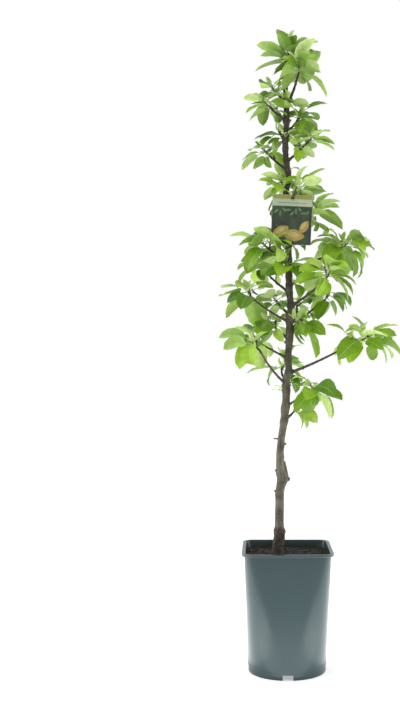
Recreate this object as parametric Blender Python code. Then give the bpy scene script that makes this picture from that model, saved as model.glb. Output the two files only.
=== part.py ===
# A columnar pear tree in its square-rimmed nursery pot, in metres.
# The origin is the centre of the pot's underside. Seen from the front, +X is right, +Y away and +Z up.
import math
import random
from collections import namedtuple

import bmesh
import bpy
from mathutils import Matrix, Vector
from mathutils.bvhtree import BVHTree

OBJECT_NAME = "potted pear tree"
GAP = 0.0003  # left between pieces that touch
WELD = 0.000001
GOLDEN_ANGLE = 137.508

# Pot: a round foot that widens into a rounded square, with a rim turned over all round
POT_HEIGHT = 0.1774
POT_WIDTH = 0.122
POT_CORNER_RADIUS = 0.011
POT_FOOT_RADIUS = 0.0566
POT_WALL = 0.0012
CORNER_STEPS = 6
FOOT_SQUARENESS = 0.03
RIM_OVERHANG = 0.004
RIM_DROP = 0.0037
RIM_THICKNESS = 0.0014
RIM_CHAMFER = 0.0005
RIM_HOLE_RADIUS = 0.0012
FOOT_HEIGHT = 0.0083
FOOT_INSET = 0.0004
FOOT_WALL = 0.0014
FLOOR_UNDERSIDE = 0.0075
FLOOR_TOP = 0.009
NOTCH_WIDTH = 0.015
NOTCH_HEIGHT = 0.0072
DRAIN_RADIUS = 0.004
DRAIN_CIRCLE = 0.036
PAD_RADIUS = 0.015
SOIL_LEVEL = 0.1674

# Trunk: height above the soil, sideways place and thickness where it bends or swells
TRUNK_STATIONS = (
    (0.000, -0.0131, 0.0158),
    (0.006, -0.0131, 0.0158),
    (0.014, -0.0126, 0.0162),
    (0.025, -0.0113, 0.0162),
    (0.033, -0.0109, 0.0168),
    (0.039, -0.0111, 0.0140),
    (0.046, -0.0111, 0.0130),
    (0.070, -0.0107, 0.0128),
    (0.091, -0.0103, 0.0127),
    (0.107, -0.0080, 0.0136),
    (0.122, -0.0095, 0.0128),
    (0.144, -0.0101, 0.0112),
    (0.166, -0.0083, 0.0106),
    (0.195, -0.0040, 0.0110),
    (0.210, -0.0024, 0.0116),
    (0.224, -0.0014, 0.0110),
    (0.252, -0.0004, 0.0104),
    (0.268, 0.0026, 0.0100),
    (0.284, 0.0015, 0.0099),
    (0.325, 0.0043, 0.0098),
    (0.343, 0.0032, 0.0096),
    (0.360, 0.0060, 0.0094),
    (0.380, 0.0035, 0.0092),
    (0.450, 0.0022, 0.0088),
    (0.527, -0.0010, 0.0083),
    (0.545, 0.0024, 0.0082),
    (0.585, -0.0023, 0.0078),
    (0.622, -0.0007, 0.0078),
    (0.648, -0.0007, 0.0076),
    (0.674, -0.0019, 0.0072),
    (0.692, -0.0014, 0.0064),
    (0.716, 0.0010, 0.0036),
)
TRUNK_STEP = 0.0075
TRUNK_WAVER = 0.0015
TRUNK_WAVE_LENGTH = 0.34
FLARE = 0.0012
FLARE_HEIGHT = 0.005
COLLAR_SWELL = 0.0010
COLLAR_REACH = 0.005

# Pruned stubs and knobs: height, azimuth, distance from the trunk's middle, rise, length and base radius
STUBS = (
    (0.108, 0, 0.0085, 100, 0.027, 0.0026),
    (0.106, 0, 0.0020, 15, 0.0105, 0.0032),
    (0.118, 180, 0.0020, 30, 0.0075, 0.0018),
    (0.158, 10, 0.0020, 20, 0.0065, 0.0017),
    (0.167, 175, 0.0020, 5, 0.0095, 0.0012),
    (0.087, 190, 0.0020, 40, 0.0080, 0.0016),
)

# Boughs: height on the trunk, azimuth (0 is right, 90 away), rise, length, turn upwards, two thicknesses
BOUGHS = {
    "low_right": (0.2146, -35, 27, 0.0427, 0, 0.0030, 0.0022),
    "back_low": (0.2380, 97, 32, 0.0420, 8, 0.0030, 0.0022),
    "left_low": (0.2466, -142, 44, 0.0666, 12, 0.0034, 0.0023),
    "right_long": (0.2628, -15, 24, 0.0929, 5, 0.0042, 0.0026),
    "left_mid": (0.2841, 142, 24, 0.0484, 0, 0.0034, 0.0024),
    "right_mid": (0.3245, 32, 37, 0.0737, -6, 0.0036, 0.0024),
    "back_mid": (0.3280, 78, 26, 0.0620, 10, 0.0036, 0.0025),
    "left_upper": (0.3377, -168, 31, 0.0612, 8, 0.0032, 0.0023),
    "right_upper": (0.3608, -40, 28, 0.0645, 4, 0.0038, 0.0027),
    "left_shoulder": (0.3809, 138, 36, 0.0630, 6, 0.0036, 0.0025),
    "right_shoulder": (0.4162, 28, 19, 0.0714, 8, 0.0042, 0.0031),
    "back_shoulder": (0.4280, 102, 26, 0.0640, 8, 0.0038, 0.0027),
    "label_spur": (0.5020, -61, 40, 0.0280, 0, 0.0028, 0.0024),
    "fork": (0.6521, -25, 66, 0.0426, 8, 0.0044, 0.0032),
}
BOUGH_STEP = 0.008
KINK = 5  # degrees a limb turns to and fro at its buds

# Masses of leaves. A mass grows on a bough's tip, on the trunk's tip, or at a height on the trunk.
# stem: azimuth, rise and length. shoots: how many, each "shoot" long. blade and stalk: the leaves' lengths.
# lift: how far the leaf stalks rise, within a spread. fan: how far they turn to each side of aim.
# fall: how far a blade bends down. reach: the radius of the mass's own space.
MASS_DEFAULTS = {
    "shoots": 1, "shoot": 0.012, "leaves": 8, "blade": 0.036, "stalk": 0.013,
    "lift": 5, "spread": 60, "fan": 180, "fall": 55, "reach": 0.065,
}
MASSES = {
    "low_inner": {"height": 0.1931, "stem": (20, 42, 0.027), "shoots": 0, "leaves": 3, "stalk": 0.008,
                  "blade": 0.026, "lift": -10, "aim": -20, "fan": 90},
    "low_right": {"on": "low_right", "stem": (-10, 15, 0.015), "leaves": 10, "blade": 0.038, "lift": -15,
                  "fall": 60},
    "back_low": {"on": "back_low", "stem": (90, 40, 0.015), "leaves": 8, "fall": 60},
    "left_low": {"on": "left_low", "stem": (-165, 45, 0.014), "leaves": 8, "aim": 180, "fan": 130, "fall": 70},
    "right_long": {"on": "right_long", "stem": (-5, 25, 0.034), "shoots": 2, "leaves": 15, "blade": 0.042,
                   "stalk": 0.018, "lift": 8, "fall": 62, "reach": 0.075},
    "left_mid": {"on": "left_mid", "stem": (155, 35, 0.014), "leaves": 7, "aim": 165, "fan": 150, "lift": 15},
    "left_spur": {"height": 0.3122, "stem": (160, 40, 0.040), "leaves": 9, "blade": 0.032, "lift": 0},
    "right_mid": {"on": "right_mid", "stem": (20, 50, 0.012), "leaves": 7, "blade": 0.034, "stalk": 0.010,
                  "lift": -10},
    "right_spur": {"height": 0.3184, "stem": (-50, 37, 0.033), "leaves": 9, "blade": 0.040, "stalk": 0.010,
                   "lift": -20, "fall": 40},
    "back_mid": {"on": "back_mid", "stem": (85, 45, 0.018), "leaves": 10},
    "left_upper": {"on": "left_upper", "stem": (-170, 55, 0.010), "leaves": 8, "blade": 0.040, "stalk": 0.015,
                   "lift": -5, "aim": 180, "fan": 140, "fall": 35},
    "left_inner": {"height": 0.3480, "stem": (150, 44, 0.034), "shoots": 0, "leaves": 5, "blade": 0.030,
                   "stalk": 0.010, "lift": 10},
    "right_upper": {"on": "right_upper", "stem": (-25, 55, 0.014), "leaves": 11, "blade": 0.040, "lift": -5},
    "left_shoulder": {"on": "left_shoulder", "stem": (150, 40, 0.014), "leaves": 9, "lift": -5},
    "front_mid": {"height": 0.3900, "stem": (-55, 20, 0.014), "shoots": 0, "leaves": 3, "stalk": 0.007,
                  "blade": 0.031, "lift": -25, "aim": -40, "fan": 70},
    "front_shoulder": {"height": 0.4050, "stem": (-105, 35, 0.026), "leaves": 9, "stalk": 0.010, "lift": 20},
    "right_shoulder": {"on": "right_shoulder", "stem": (5, 30, 0.030), "shoots": 3, "leaves": 18, "blade": 0.044,
                       "stalk": 0.018, "lift": 0, "fall": 65, "reach": 0.070},
    "left_heart": {"height": 0.4223, "stem": (-155, 33, 0.050), "shoots": 2, "leaves": 14, "blade": 0.044,
                   "lift": 5, "spread": 90, "fall": 50},
    "back_shoulder": {"on": "back_shoulder", "stem": (100, 40, 0.020), "shoots": 2, "leaves": 12},
    "label_right": {"height": 0.4713, "stem": (12, 38, 0.050), "leaves": 9, "blade": 0.038, "stalk": 0.015,
                    "lift": 15, "fan": 140, "fall": 45},
    "label_spur": {"on": "label_spur", "stem": (-40, 65, 0.007), "shoots": 0, "leaves": 5, "stalk": 0.018,
                   "blade": 0.032, "lift": 25, "aim": 10, "fan": 80, "fall": 35},
    "back_heart": {"height": 0.5000, "stem": (65, 40, 0.045), "shoots": 2, "leaves": 11, "lift": 10},
    "front_high": {"height": 0.5236, "stem": (-115, 40, 0.024), "leaves": 9, "blade": 0.028, "stalk": 0.007,
                   "lift": 20, "fall": 35},
    "left_high": {"height": 0.5574, "stem": (170, 42, 0.050), "leaves": 9, "blade": 0.032, "stalk": 0.012,
                  "lift": 5, "fall": 45},
    "right_high": {"height": 0.5710, "stem": (-20, 39, 0.049), "leaves": 9, "blade": 0.032, "stalk": 0.008,
                   "lift": 10, "fall": 30},
    "back_high": {"height": 0.5900, "stem": (100, 45, 0.040), "shoots": 2, "leaves": 11, "blade": 0.032,
                  "lift": 10, "fall": 40},
    "right_top": {"height": 0.6101, "stem": (30, 53, 0.050), "leaves": 10, "blade": 0.032, "stalk": 0.009,
                  "lift": 5, "fall": 35},
    "left_top": {"height": 0.6292, "stem": (-155, 34, 0.044), "leaves": 10, "blade": 0.028, "stalk": 0.009,
                 "lift": 5, "fall": 30},
    "front_top": {"height": 0.6400, "stem": (-80, 50, 0.020), "shoots": 0, "leaves": 5, "blade": 0.022,
                  "stalk": 0.006, "lift": 15, "fall": 30},
    "high_left": {"height": 0.6572, "stem": (155, 47, 0.034), "leaves": 8, "blade": 0.027, "stalk": 0.010,
                  "lift": 10, "fall": 30},
    "fork": {"on": "fork", "stem": (-20, 75, 0.012), "leaves": 10, "blade": 0.042, "stalk": 0.009, "lift": 15,
             "spread": 80, "fall": 40},
    "top": {"on": "trunk", "stem": (150, 84, 0.010), "leaves": 14, "blade": 0.042, "stalk": 0.008, "lift": 40,
            "spread": 90, "fall": 25},
}
STEM_RADIUS = 0.0012
SHOOT_RADIUS = 0.0010
STALK_RADIUS = 0.0006
ROOT_STEP = 0.0011  # between the leaves of one rosette, along their twig
BLADE_WIDTH = 0.58  # of its length
BLADE_THICKNESS = 0.0010
BEND_PLACE = 0.45
BLADE_FOLD = 0.22
LEAF_ROLL = 40
GUARD = 0.0009  # kept clear round each leaf and limb
TRIES = 14
BARE_FACES = ((0.0, 0.392), (0.574, 0.625))  # heights between which no leaf hangs before the trunk
BARE_FACE_HALF_WIDTH = 0.005

# Label: a printed card that hangs by its hole from the label spur
LABEL_WIDTH = 0.058
LABEL_HEIGHT = 0.072
LABEL_THICKNESS = 0.0006
LABEL_CORNER = 0.003
LABEL_HOLE_RADIUS = 0.0030
LABEL_HOLE_DROP = 0.0056
LABEL_PLAY = 0.0004  # for the slope of the spur through the card
LABEL_TILT = 2.5

COLOURS = {
    "pot": ((0.10, 0.15, 0.16), 0.42),
    "soil": ((0.035, 0.020, 0.013), 0.95),
    "bark": ((0.10, 0.075, 0.050), 0.85),
    "leaf": ((0.20, 0.42, 0.05), 0.50),
    "label": ((0.05, 0.11, 0.04), 0.40),
}

Leaf = namedtuple("Leaf", "root heading side normal stalk length width fall")
Taken = namedtuple("Taken", "tree centre reach owner part")


def clear_scene():
    for obj in list(bpy.data.objects):
        bpy.data.objects.remove(obj, do_unlink=True)


def new_collection(name, parent=None):
    collection = bpy.data.collections.new(name)
    (parent or bpy.context.scene.collection).children.link(collection)
    return collection


def new_material(name, kind):
    colour, roughness = COLOURS[kind]
    material = bpy.data.materials.new(name)
    material.use_nodes = True
    shader = material.node_tree.nodes["Principled BSDF"]
    shader.inputs["Base Color"].default_value = (*colour, 1)
    shader.inputs["Roughness"].default_value = roughness
    material.diffuse_color = (*colour, 1)
    return material


def new_object(name, bm, collection, kind=None):
    """A mesh object from a bmesh, with its own material if it is a part."""
    mesh = bpy.data.meshes.new(name)
    bm.to_mesh(mesh)
    bm.free()
    obj = bpy.data.objects.new(name, mesh)
    collection.objects.link(obj)
    if kind:
        mesh.materials.append(new_material(name, kind))
    return obj


def new_cutter(name, bm):
    cutter = new_object(name, bm, cutters)
    cutter.hide_render = True
    cutter.display_type = "WIRE"
    return cutter


def evaluated_mesh(obj):
    depsgraph = bpy.context.evaluated_depsgraph_get()
    return bpy.data.meshes.new_from_object(obj.evaluated_get(depsgraph))


def keep_largest_shell(bm):
    """Drops loose scraps and the walls of sealed hollows."""
    unseen = set(bm.verts)
    shells = []
    while unseen:
        shell = {unseen.pop()}
        edge_of_search = set(shell)
        while edge_of_search:
            neighbours = {edge.other_vert(vert) for vert in edge_of_search for edge in vert.link_edges}
            edge_of_search = neighbours & unseen
            unseen -= edge_of_search
            shell |= edge_of_search
        shells.append(shell)
    shells.sort(key=len)
    for shell in shells[:-1]:
        bmesh.ops.delete(bm, geom=list(shell), context="VERTS")


def apply_modifiers(obj):
    mesh = evaluated_mesh(obj)
    obj.modifiers.clear()
    obj.data = mesh
    bm = bmesh.new()
    bm.from_mesh(mesh)
    keep_largest_shell(bm)
    bm.to_mesh(mesh)
    bm.free()


def fuse(obj, pieces):
    """Joins every object of a collection to obj by one Boolean, and removes the collection."""
    modifier = obj.modifiers.new("fuse", "BOOLEAN")
    modifier.operation = "UNION"
    modifier.operand_type = "COLLECTION"
    modifier.collection = pieces
    apply_modifiers(obj)
    for piece in list(pieces.objects):
        bpy.data.objects.remove(piece, do_unlink=True)
    bpy.data.collections.remove(pieces)


def cut(obj, cutter):
    modifier = obj.modifiers.new("cut by " + cutter.name, "BOOLEAN")
    modifier.operation = "DIFFERENCE"
    modifier.object = cutter


def direction(azimuth, rise):
    azimuth = math.radians(azimuth)
    rise = math.radians(rise)
    level = math.cos(rise)
    return Vector((level * math.cos(azimuth), level * math.sin(azimuth), math.sin(rise)))


def add_stick(bm, start, end, start_radius, end_radius, sides):
    """A tapering stick with flat ends."""
    way = end - start
    turn = way.to_track_quat("Z", "Y").to_matrix().to_4x4()
    place = Matrix.Translation((start + end) / 2) @ turn
    bmesh.ops.create_cone(
        bm, cap_ends=True, segments=sides, radius1=start_radius, radius2=end_radius, depth=way.length, matrix=place
    )


def limb_object(name, points, radii, collection, roundness):
    """A closed mesh round a row of points, made by a bevelled curve."""
    curve = bpy.data.curves.new(name, "CURVE")
    curve.dimensions = "3D"
    curve.bevel_depth = radii[0]
    curve.bevel_resolution = roundness
    curve.use_fill_caps = True
    spline = curve.splines.new("POLY")
    spline.points.add(len(points) - 1)
    for spot, point, radius in zip(spline.points, points, radii):
        spot.co = (*point, 1)
        spot.radius = radius / radii[0]
    guide = bpy.data.objects.new(name + " guide", curve)
    collection.objects.link(guide)
    bm = bmesh.new()
    bm.from_mesh(evaluated_mesh(guide))
    bmesh.ops.remove_doubles(bm, verts=bm.verts, dist=WELD)
    bmesh.ops.recalc_face_normals(bm, faces=bm.faces)
    bpy.data.objects.remove(guide, do_unlink=True)
    return new_object(name, bm, collection)


def smooth_shading(obj):
    obj.data.shade_smooth()
    obj.data.set_sharp_from_angle(angle=math.radians(40))


# Pot and soil


def pot_outline(height, inset):
    """The pot's wall at a height: straight sides between rounded corners, which widen to a circle at the foot."""
    rise = (height - FOOT_HEIGHT) / (POT_HEIGHT - FOOT_HEIGHT)
    squareness = min(1, max(FOOT_SQUARENESS, rise))
    radius = POT_FOOT_RADIUS + (POT_CORNER_RADIUS - POT_FOOT_RADIUS) * squareness
    reach = (POT_WIDTH / 2 - POT_CORNER_RADIUS) * squareness
    outline = []
    for quarter in range(4):
        middle = math.radians(90 * quarter + 45)
        corner = Vector((math.copysign(reach, math.cos(middle)), math.copysign(reach, math.sin(middle)), height))
        for step in range(CORNER_STEPS + 1):
            angle = math.radians(90 * (quarter + step / CORNER_STEPS))
            outline.append(corner + (radius - inset) * Vector((math.cos(angle), math.sin(angle), 0)))
    return outline


def skin(profile):
    """A closed solid lofted through pot outlines, each at a height and an inset."""
    bm = bmesh.new()
    rings = [[bm.verts.new(point) for point in pot_outline(height, inset)] for height, inset in profile]
    for ring, following in zip(rings, rings[1:]):
        for index in range(len(ring)):
            bm.faces.new((ring[index - 1], ring[index], following[index], following[index - 1]))
    bm.faces.new(rings[0])
    bm.faces.new(list(reversed(rings[-1])))
    bmesh.ops.recalc_face_normals(bm, faces=bm.faces)
    return bm


def add_cylinder(bm, x, y, low, high, radius, segments):
    add_stick(bm, Vector((x, y, low)), Vector((x, y, high)), radius, radius, segments)


def make_pot():
    profile = (
        (FLOOR_TOP, POT_WALL),
        (POT_HEIGHT - RIM_CHAMFER, POT_WALL),
        (POT_HEIGHT, POT_WALL - RIM_CHAMFER),
        (POT_HEIGHT, RIM_CHAMFER - RIM_OVERHANG),
        (POT_HEIGHT - RIM_CHAMFER, -RIM_OVERHANG),
        (POT_HEIGHT - RIM_DROP, -RIM_OVERHANG),
        (POT_HEIGHT - RIM_DROP, POT_WALL - RIM_OVERHANG),
        (POT_HEIGHT - RIM_THICKNESS, POT_WALL - RIM_OVERHANG),
        (POT_HEIGHT - RIM_THICKNESS, 0),
        (FOOT_HEIGHT + FOOT_INSET, 0),
        (FOOT_HEIGHT, FOOT_INSET),
        (0, FOOT_INSET),
        (0, FOOT_INSET + FOOT_WALL),
        (FLOOR_UNDERSIDE, FOOT_INSET + FOOT_WALL),
    )
    pot = new_object("pot", skin(profile), parts, "pot")
    pad_pieces = new_collection("pot pieces")
    bm = bmesh.new()
    add_cylinder(bm, 0, 0, 0, (FLOOR_UNDERSIDE + FLOOR_TOP) / 2, PAD_RADIUS, 24)
    new_object("pad", bm, pad_pieces)
    fuse(pot, pad_pieces)

    bm = bmesh.new()
    for side in range(4):
        angle = math.radians(90 * side)
        turn = Matrix.Rotation(angle, 4, "Z")
        place = Matrix.Translation((POT_FOOT_RADIUS, 0, NOTCH_HEIGHT / 2 - POT_WALL))
        size = Matrix.Diagonal((0.012, NOTCH_WIDTH, NOTCH_HEIGHT + 2 * POT_WALL, 1))
        bmesh.ops.create_cube(bm, size=1, matrix=turn @ place @ size)
        x = DRAIN_CIRCLE * math.cos(angle + math.pi / 4)
        y = DRAIN_CIRCLE * math.sin(angle + math.pi / 4)
        add_cylinder(bm, x, y, FLOOR_UNDERSIDE - 0.001, FLOOR_TOP + 0.001, DRAIN_RADIUS, 12)
    for side in (-1, 1):
        x = side * (POT_WIDTH / 2 + (RIM_OVERHANG - POT_WALL) / 2)
        add_cylinder(bm, x, 0, POT_HEIGHT - 0.003, POT_HEIGHT + 0.001, RIM_HOLE_RADIUS, 8)
    cut(pot, new_cutter("pot holes", bm))
    smooth_shading(pot)


def make_soil():
    profile = (
        (FLOOR_TOP + GAP, POT_WALL + GAP),
        (SOIL_LEVEL, POT_WALL + GAP),
    )
    new_object("soil", skin(profile), parts, "soil")


# Trunk and boughs


def station_value(height, column):
    """A smooth curve through one column of the trunk's stations."""
    last = len(TRUNK_STATIONS) - 1
    index = max(i for i in range(last) if TRUNK_STATIONS[i][0] <= height or i == 0)

    def slope(i):
        before = TRUNK_STATIONS[max(i - 1, 0)]
        after = TRUNK_STATIONS[min(i + 1, last)]
        return (after[column] - before[column]) / (after[0] - before[0])

    low, high = TRUNK_STATIONS[index], TRUNK_STATIONS[index + 1]
    span = high[0] - low[0]
    t = (height - low[0]) / span
    return (
        low[column] * (1 + 2 * t) * (1 - t) ** 2
        + high[column] * t * t * (3 - 2 * t)
        + slope(index) * span * t * (1 - t) ** 2
        - slope(index + 1) * span * t * t * (1 - t)
    )


def swell(height, middle, size, reach):
    return size * math.exp(-(((height - middle) / reach) ** 2))


def trunk_centre(height):
    straight = TRUNK_STATIONS[1][0]
    bend_height = max(height, straight)
    waver = TRUNK_WAVER * math.sin(math.tau * (bend_height - straight) / TRUNK_WAVE_LENGTH)
    return Vector((station_value(bend_height, 1), waver, SOIL_LEVEL + GAP + height))


def trunk_radius(height):
    radius = station_value(height, 2) / 2
    radius += FLARE * math.exp(-height / FLARE_HEIGHT)
    return radius + max(swell(height, limb, COLLAR_SWELL, COLLAR_REACH) for limb in limb_heights())


def limb_heights():
    heights = [bough[0] for bough in BOUGHS.values()]
    return heights + [mass["height"] for mass in MASSES.values() if "height" in mass]


def trunk_line():
    top = TRUNK_STATIONS[-1][0]
    steps = round(top / TRUNK_STEP)
    heights = [top * step / steps for step in range(steps + 1)]
    return [trunk_centre(height) for height in heights], [trunk_radius(height) for height in heights]


def make_trunk():
    """The trunk with its stubs, and a cutter that is wider by the gap."""
    points, radii = trunk_line()
    trunk = limb_object("trunk", points, radii, parts, 2)
    trunk.data.materials.append(new_material("trunk", "bark"))
    stubs = new_collection("trunk pieces")
    for index, (height, azimuth, offset, rise, length, radius) in enumerate(STUBS):
        start = trunk_centre(height) + direction(azimuth, 0) * offset
        bm = bmesh.new()
        add_stick(bm, start, start + direction(azimuth, rise) * length, radius, 0.7 * radius, 6)
        new_object(f"stub {index}", bm, stubs)
    fuse(trunk, stubs)
    smooth_shading(trunk)
    cutter = limb_object("trunk clearance", points, [radius + GAP for radius in radii], cutters, 2)
    cutter.hide_render = True
    cutter.display_type = "WIRE"
    return cutter


def grow(start, azimuth, rise, length, turn, step):
    """A limb's points, with a small kink to and fro at each step."""
    steps = max(2, round(length / step))
    points = [start]
    for index in range(steps):
        share = (index + 0.5) / steps
        kink = KINK * (-1) ** index
        heading = direction(azimuth + kink, rise + turn * (2 * share - 1))
        points.append(points[-1] + heading * length / steps)
    return points


def taper(count, first, last):
    return [first + (last - first) * index / (count - 1) for index in range(count)]


def bough_line(name):
    height, azimuth, rise, length, turn, thick, thin = BOUGHS[name]
    points = grow(trunk_centre(height), azimuth, rise, length, turn, BOUGH_STEP)
    return points, taper(len(points), thick / 2, thin / 2)


def make_bough(name, cutter):
    points, radii = bough_line(name)
    bough = limb_object("bough_" + name, points, radii, parts, 1)
    bough.data.materials.append(new_material("bough_" + name, "bark"))
    cut(bough, cutter)
    smooth_shading(bough)


# What is taken: each limb, twig and leaf keeps a guard round it that no later leaf may touch


def claim(bm, owner, part):
    """The guard round a piece, as a search tree with a ball round it."""
    centre = sum((vert.co for vert in bm.verts), Vector()) / len(bm.verts)
    reach = max((vert.co - centre).length for vert in bm.verts)
    tree = BVHTree.FromBMesh(bm)
    bm.free()
    return Taken(tree, centre, reach, owner, part)


def claim_limb(points, radii, owner, part):
    bm = bmesh.new()
    for index in range(len(points) - 1):
        add_stick(bm, points[index], points[index + 1], radii[index] + GUARD, radii[index + 1] + GUARD, 6)
    return claim(bm, owner, part)


def touches(guard, taken, ignored):
    """Whether a guard crosses one that is taken, apart from ignored pairs of owner and part."""
    for other in taken:
        if (other.owner, other.part) in ignored:
            continue
        if (guard.centre - other.centre).length < guard.reach + other.reach and guard.tree.overlap(other.tree):
            return True
    return False


# Masses of leaves


def blade_spot(leaf, along, across, raised):
    """A point of a blade: the far part bends down by its fall, and the sides fold up a little."""
    start = leaf.root + leaf.heading * leaf.stalk
    fall = math.radians(leaf.fall)
    near = min(along, BEND_PLACE) * leaf.length
    far = max(along - BEND_PLACE, 0) * leaf.length
    bent = math.cos(fall) * leaf.heading - math.sin(fall) * leaf.normal
    half_width = leaf.width / 2
    fold = BLADE_FOLD * abs(across) * half_width
    return start + leaf.heading * near + bent * far + leaf.side * across * half_width + leaf.normal * (fold + raised)


def add_blade(bm, leaf, extra=0.0):
    """A six-cornered blade with a ridge point above and below; extra makes it larger all round."""
    alongs = {-2: 0.0, -1: 0.22, 0: BEND_PLACE, 1: 0.66, 2: 1.0}
    grown = extra / leaf.length
    ball = bmesh.ops.create_uvsphere(bm, u_segments=6, v_segments=2, radius=1)
    for vert in ball["verts"]:
        x, y, z = vert.co
        along = alongs[round(2 * y)] + grown * y
        across = math.copysign(1 + 2 * extra / leaf.width, x) if abs(x) > 0.1 else 0
        raised = z * (BLADE_THICKNESS / 2 + extra)
        vert.co = blade_spot(leaf, along, across, raised)


def mass_start(name, mass):
    """Where a mass's stem starts: on the trunk's axis, or a gap past its bough's tip, with the way it first goes."""
    if "height" in mass:
        return [trunk_centre(mass["height"])]
    points = trunk_line()[0] if mass["on"] == "trunk" else bough_line(mass["on"])[0]
    heading = (points[-1] - points[-2]).normalized()
    start = points[-1] + heading * GAP
    return [start, start + heading * 0.003]


def grow_twigs(name, mass, rng, taken):
    """The stem and its shoots, as rows of points. A shoot that would touch a limb is turned, or skipped."""
    first = mass_start(name, mass)
    azimuth, rise, length = mass["stem"]
    stem = first[:-1] + grow(first[-1], azimuth, rise, length, 6, 0.012)
    twigs = [stem]
    count = mass["shoots"]
    for shoot in range(count):
        place = (shoot + 1) / (count + 1)
        spot = stem[0].lerp(stem[-1], 0.35 + 0.6 * place)
        middle = stem[round(place * (len(stem) - 1))]
        spot = middle if "height" in mass else spot
        for attempt in range(TRIES):
            turn = (90 if shoot % 2 else -90) + rng.uniform(-40, 40) + 25 * attempt
            tip = spot + direction(azimuth + turn, rise + rng.uniform(-25, 25)) * mass["shoot"] * rng.uniform(0.8, 1.2)
            heading = (tip - spot).normalized()
            guard = claim_limb([spot + heading * 0.003, tip], [SHOOT_RADIUS, SHOOT_RADIUS], name, "twig")
            if not touches(guard, taken, {(name, "twig")}):
                twigs.append([spot, tip])
                break
    return twigs


def rosette_leaf(mass, tip, heading, place, count, attempt, rng):
    """One leaf of a rosette: the oldest are lowest and largest, and each turns by the golden angle."""
    share = place / max(count - 1, 1)
    loosen = 1 + 0.35 * attempt
    around = (GOLDEN_ANGLE * place + rng.uniform(-12, 12) * loosen) % 360 - 180
    azimuth = mass["aim"] + around * mass["fan"] / 180
    rise = mass["lift"] + mass["spread"] * (0.5 - share) + rng.uniform(-10, 10) * loosen
    size = (0.72 + 0.36 * min(1, 3 * share)) * rng.uniform(0.85, 1.15) * 0.97**attempt
    way = direction(azimuth, rise)
    level = Vector((-math.sin(math.radians(azimuth)), math.cos(math.radians(azimuth)), 0))
    upright = way.cross(level)
    roll = math.radians(rng.uniform(-LEAF_ROLL, LEAF_ROLL))
    side = level * math.cos(roll) + upright * math.sin(roll)
    normal = upright * math.cos(roll) - level * math.sin(roll)
    length = mass["blade"] * size
    return Leaf(
        root=tip - heading * (0.0006 + ROOT_STEP * place),
        heading=way,
        side=side,
        normal=normal,
        stalk=mass["stalk"] * rng.uniform(0.7, 1.3),
        length=length,
        width=length * BLADE_WIDTH * rng.uniform(0.9, 1.1),
        fall=mass["fall"] * rng.uniform(0.5, 1.3),
    )


def hides_trunk(corner):
    height = corner.z - SOIL_LEVEL - GAP
    if not any(low < height < high for low, high in BARE_FACES):
        return False
    trunk = trunk_centre(height)
    return corner.y < trunk.y and abs(corner.x - trunk.x) < BARE_FACE_HALF_WIDTH


def leaf_fits(leaf, name, mass, hub, taken):
    """The guards of a leaf's blade and stalk, or nothing where it leaves the mass's space or meets a neighbour."""
    bm = bmesh.new()
    add_blade(bm, leaf, GUARD)
    corners = [vert.co.copy() for vert in bm.verts]
    if any((corner - hub).length > mass["reach"] or hides_trunk(corner) for corner in corners):
        bm.free()
        return None
    blade = claim(bm, name, "blade")
    if touches(blade, taken, set()):
        return None
    start = leaf.root + leaf.heading * min(0.004, leaf.stalk / 2)
    end = leaf.root + leaf.heading * leaf.stalk
    stalk = claim_limb([start, end], [STALK_RADIUS, STALK_RADIUS], name, "stalk")
    if touches(stalk, taken, {(name, "twig"), (name, "stalk")}):
        return None
    return blade, stalk


def grow_leaves(name, mass, twigs, rng, taken):
    hub = sum((twig[-1] for twig in twigs), Vector()) / len(twigs)
    leaves = []
    for number, twig in enumerate(twigs):
        count = len(range(number, mass["leaves"], len(twigs)))
        heading = (twig[-1] - twig[-2]).normalized()
        for place in range(count):
            for attempt in range(TRIES):
                leaf = rosette_leaf(mass, twig[-1], heading, place, count, attempt, rng)
                guards = leaf_fits(leaf, name, mass, hub, taken)
                if guards:
                    leaves.append(leaf)
                    taken.extend(guards)
                    break
    return leaves


def make_mass(name, mass, twigs, leaves, cutter):
    """One solid: the stem, its shoots, and each leaf with its stalk sunk in its twig and in its blade."""
    stem = twigs[0]
    solid = limb_object("leaves_" + name, stem, taper(len(stem), STEM_RADIUS, SHOOT_RADIUS), parts, 0)
    solid.data.materials.append(new_material("leaves_" + name, "leaf"))
    pieces = new_collection(name + " pieces")
    for start, tip in twigs[1:]:
        bm = bmesh.new()
        add_stick(bm, start, tip, SHOOT_RADIUS, SHOOT_RADIUS, 4)
        new_object("shoot", bm, pieces)
    for leaf in leaves:
        bm = bmesh.new()
        end = leaf.root + leaf.heading * (leaf.stalk + 0.9 * BEND_PLACE * leaf.length)
        add_stick(bm, leaf.root, end, STALK_RADIUS, 0.6 * STALK_RADIUS, 3)
        new_object("stalk", bm, pieces)
        bm = bmesh.new()
        add_blade(bm, leaf)
        new_object("blade", bm, pieces)
    fuse(solid, pieces)
    if "height" in mass:
        cut(solid, cutter)


# Label


def label_place():
    """Where the label's hole hangs at the spur's last bend, and the turn that stands it up facing forwards."""
    rise, thick, thin = [BOUGHS["label_spur"][index] for index in (2, 5, 6)]
    hang = bough_line("label_spur")[0][-2].copy()
    spur_half_height = (thick + thin) / 4 / math.cos(math.radians(rise))
    hang.z -= LABEL_HOLE_RADIUS - spur_half_height - LABEL_PLAY - GAP
    upright = Matrix.Rotation(math.radians(90), 4, "X")
    tilt = Matrix.Rotation(math.radians(LABEL_TILT), 4, "Y")
    return Matrix.Translation(hang) @ tilt @ upright


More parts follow.
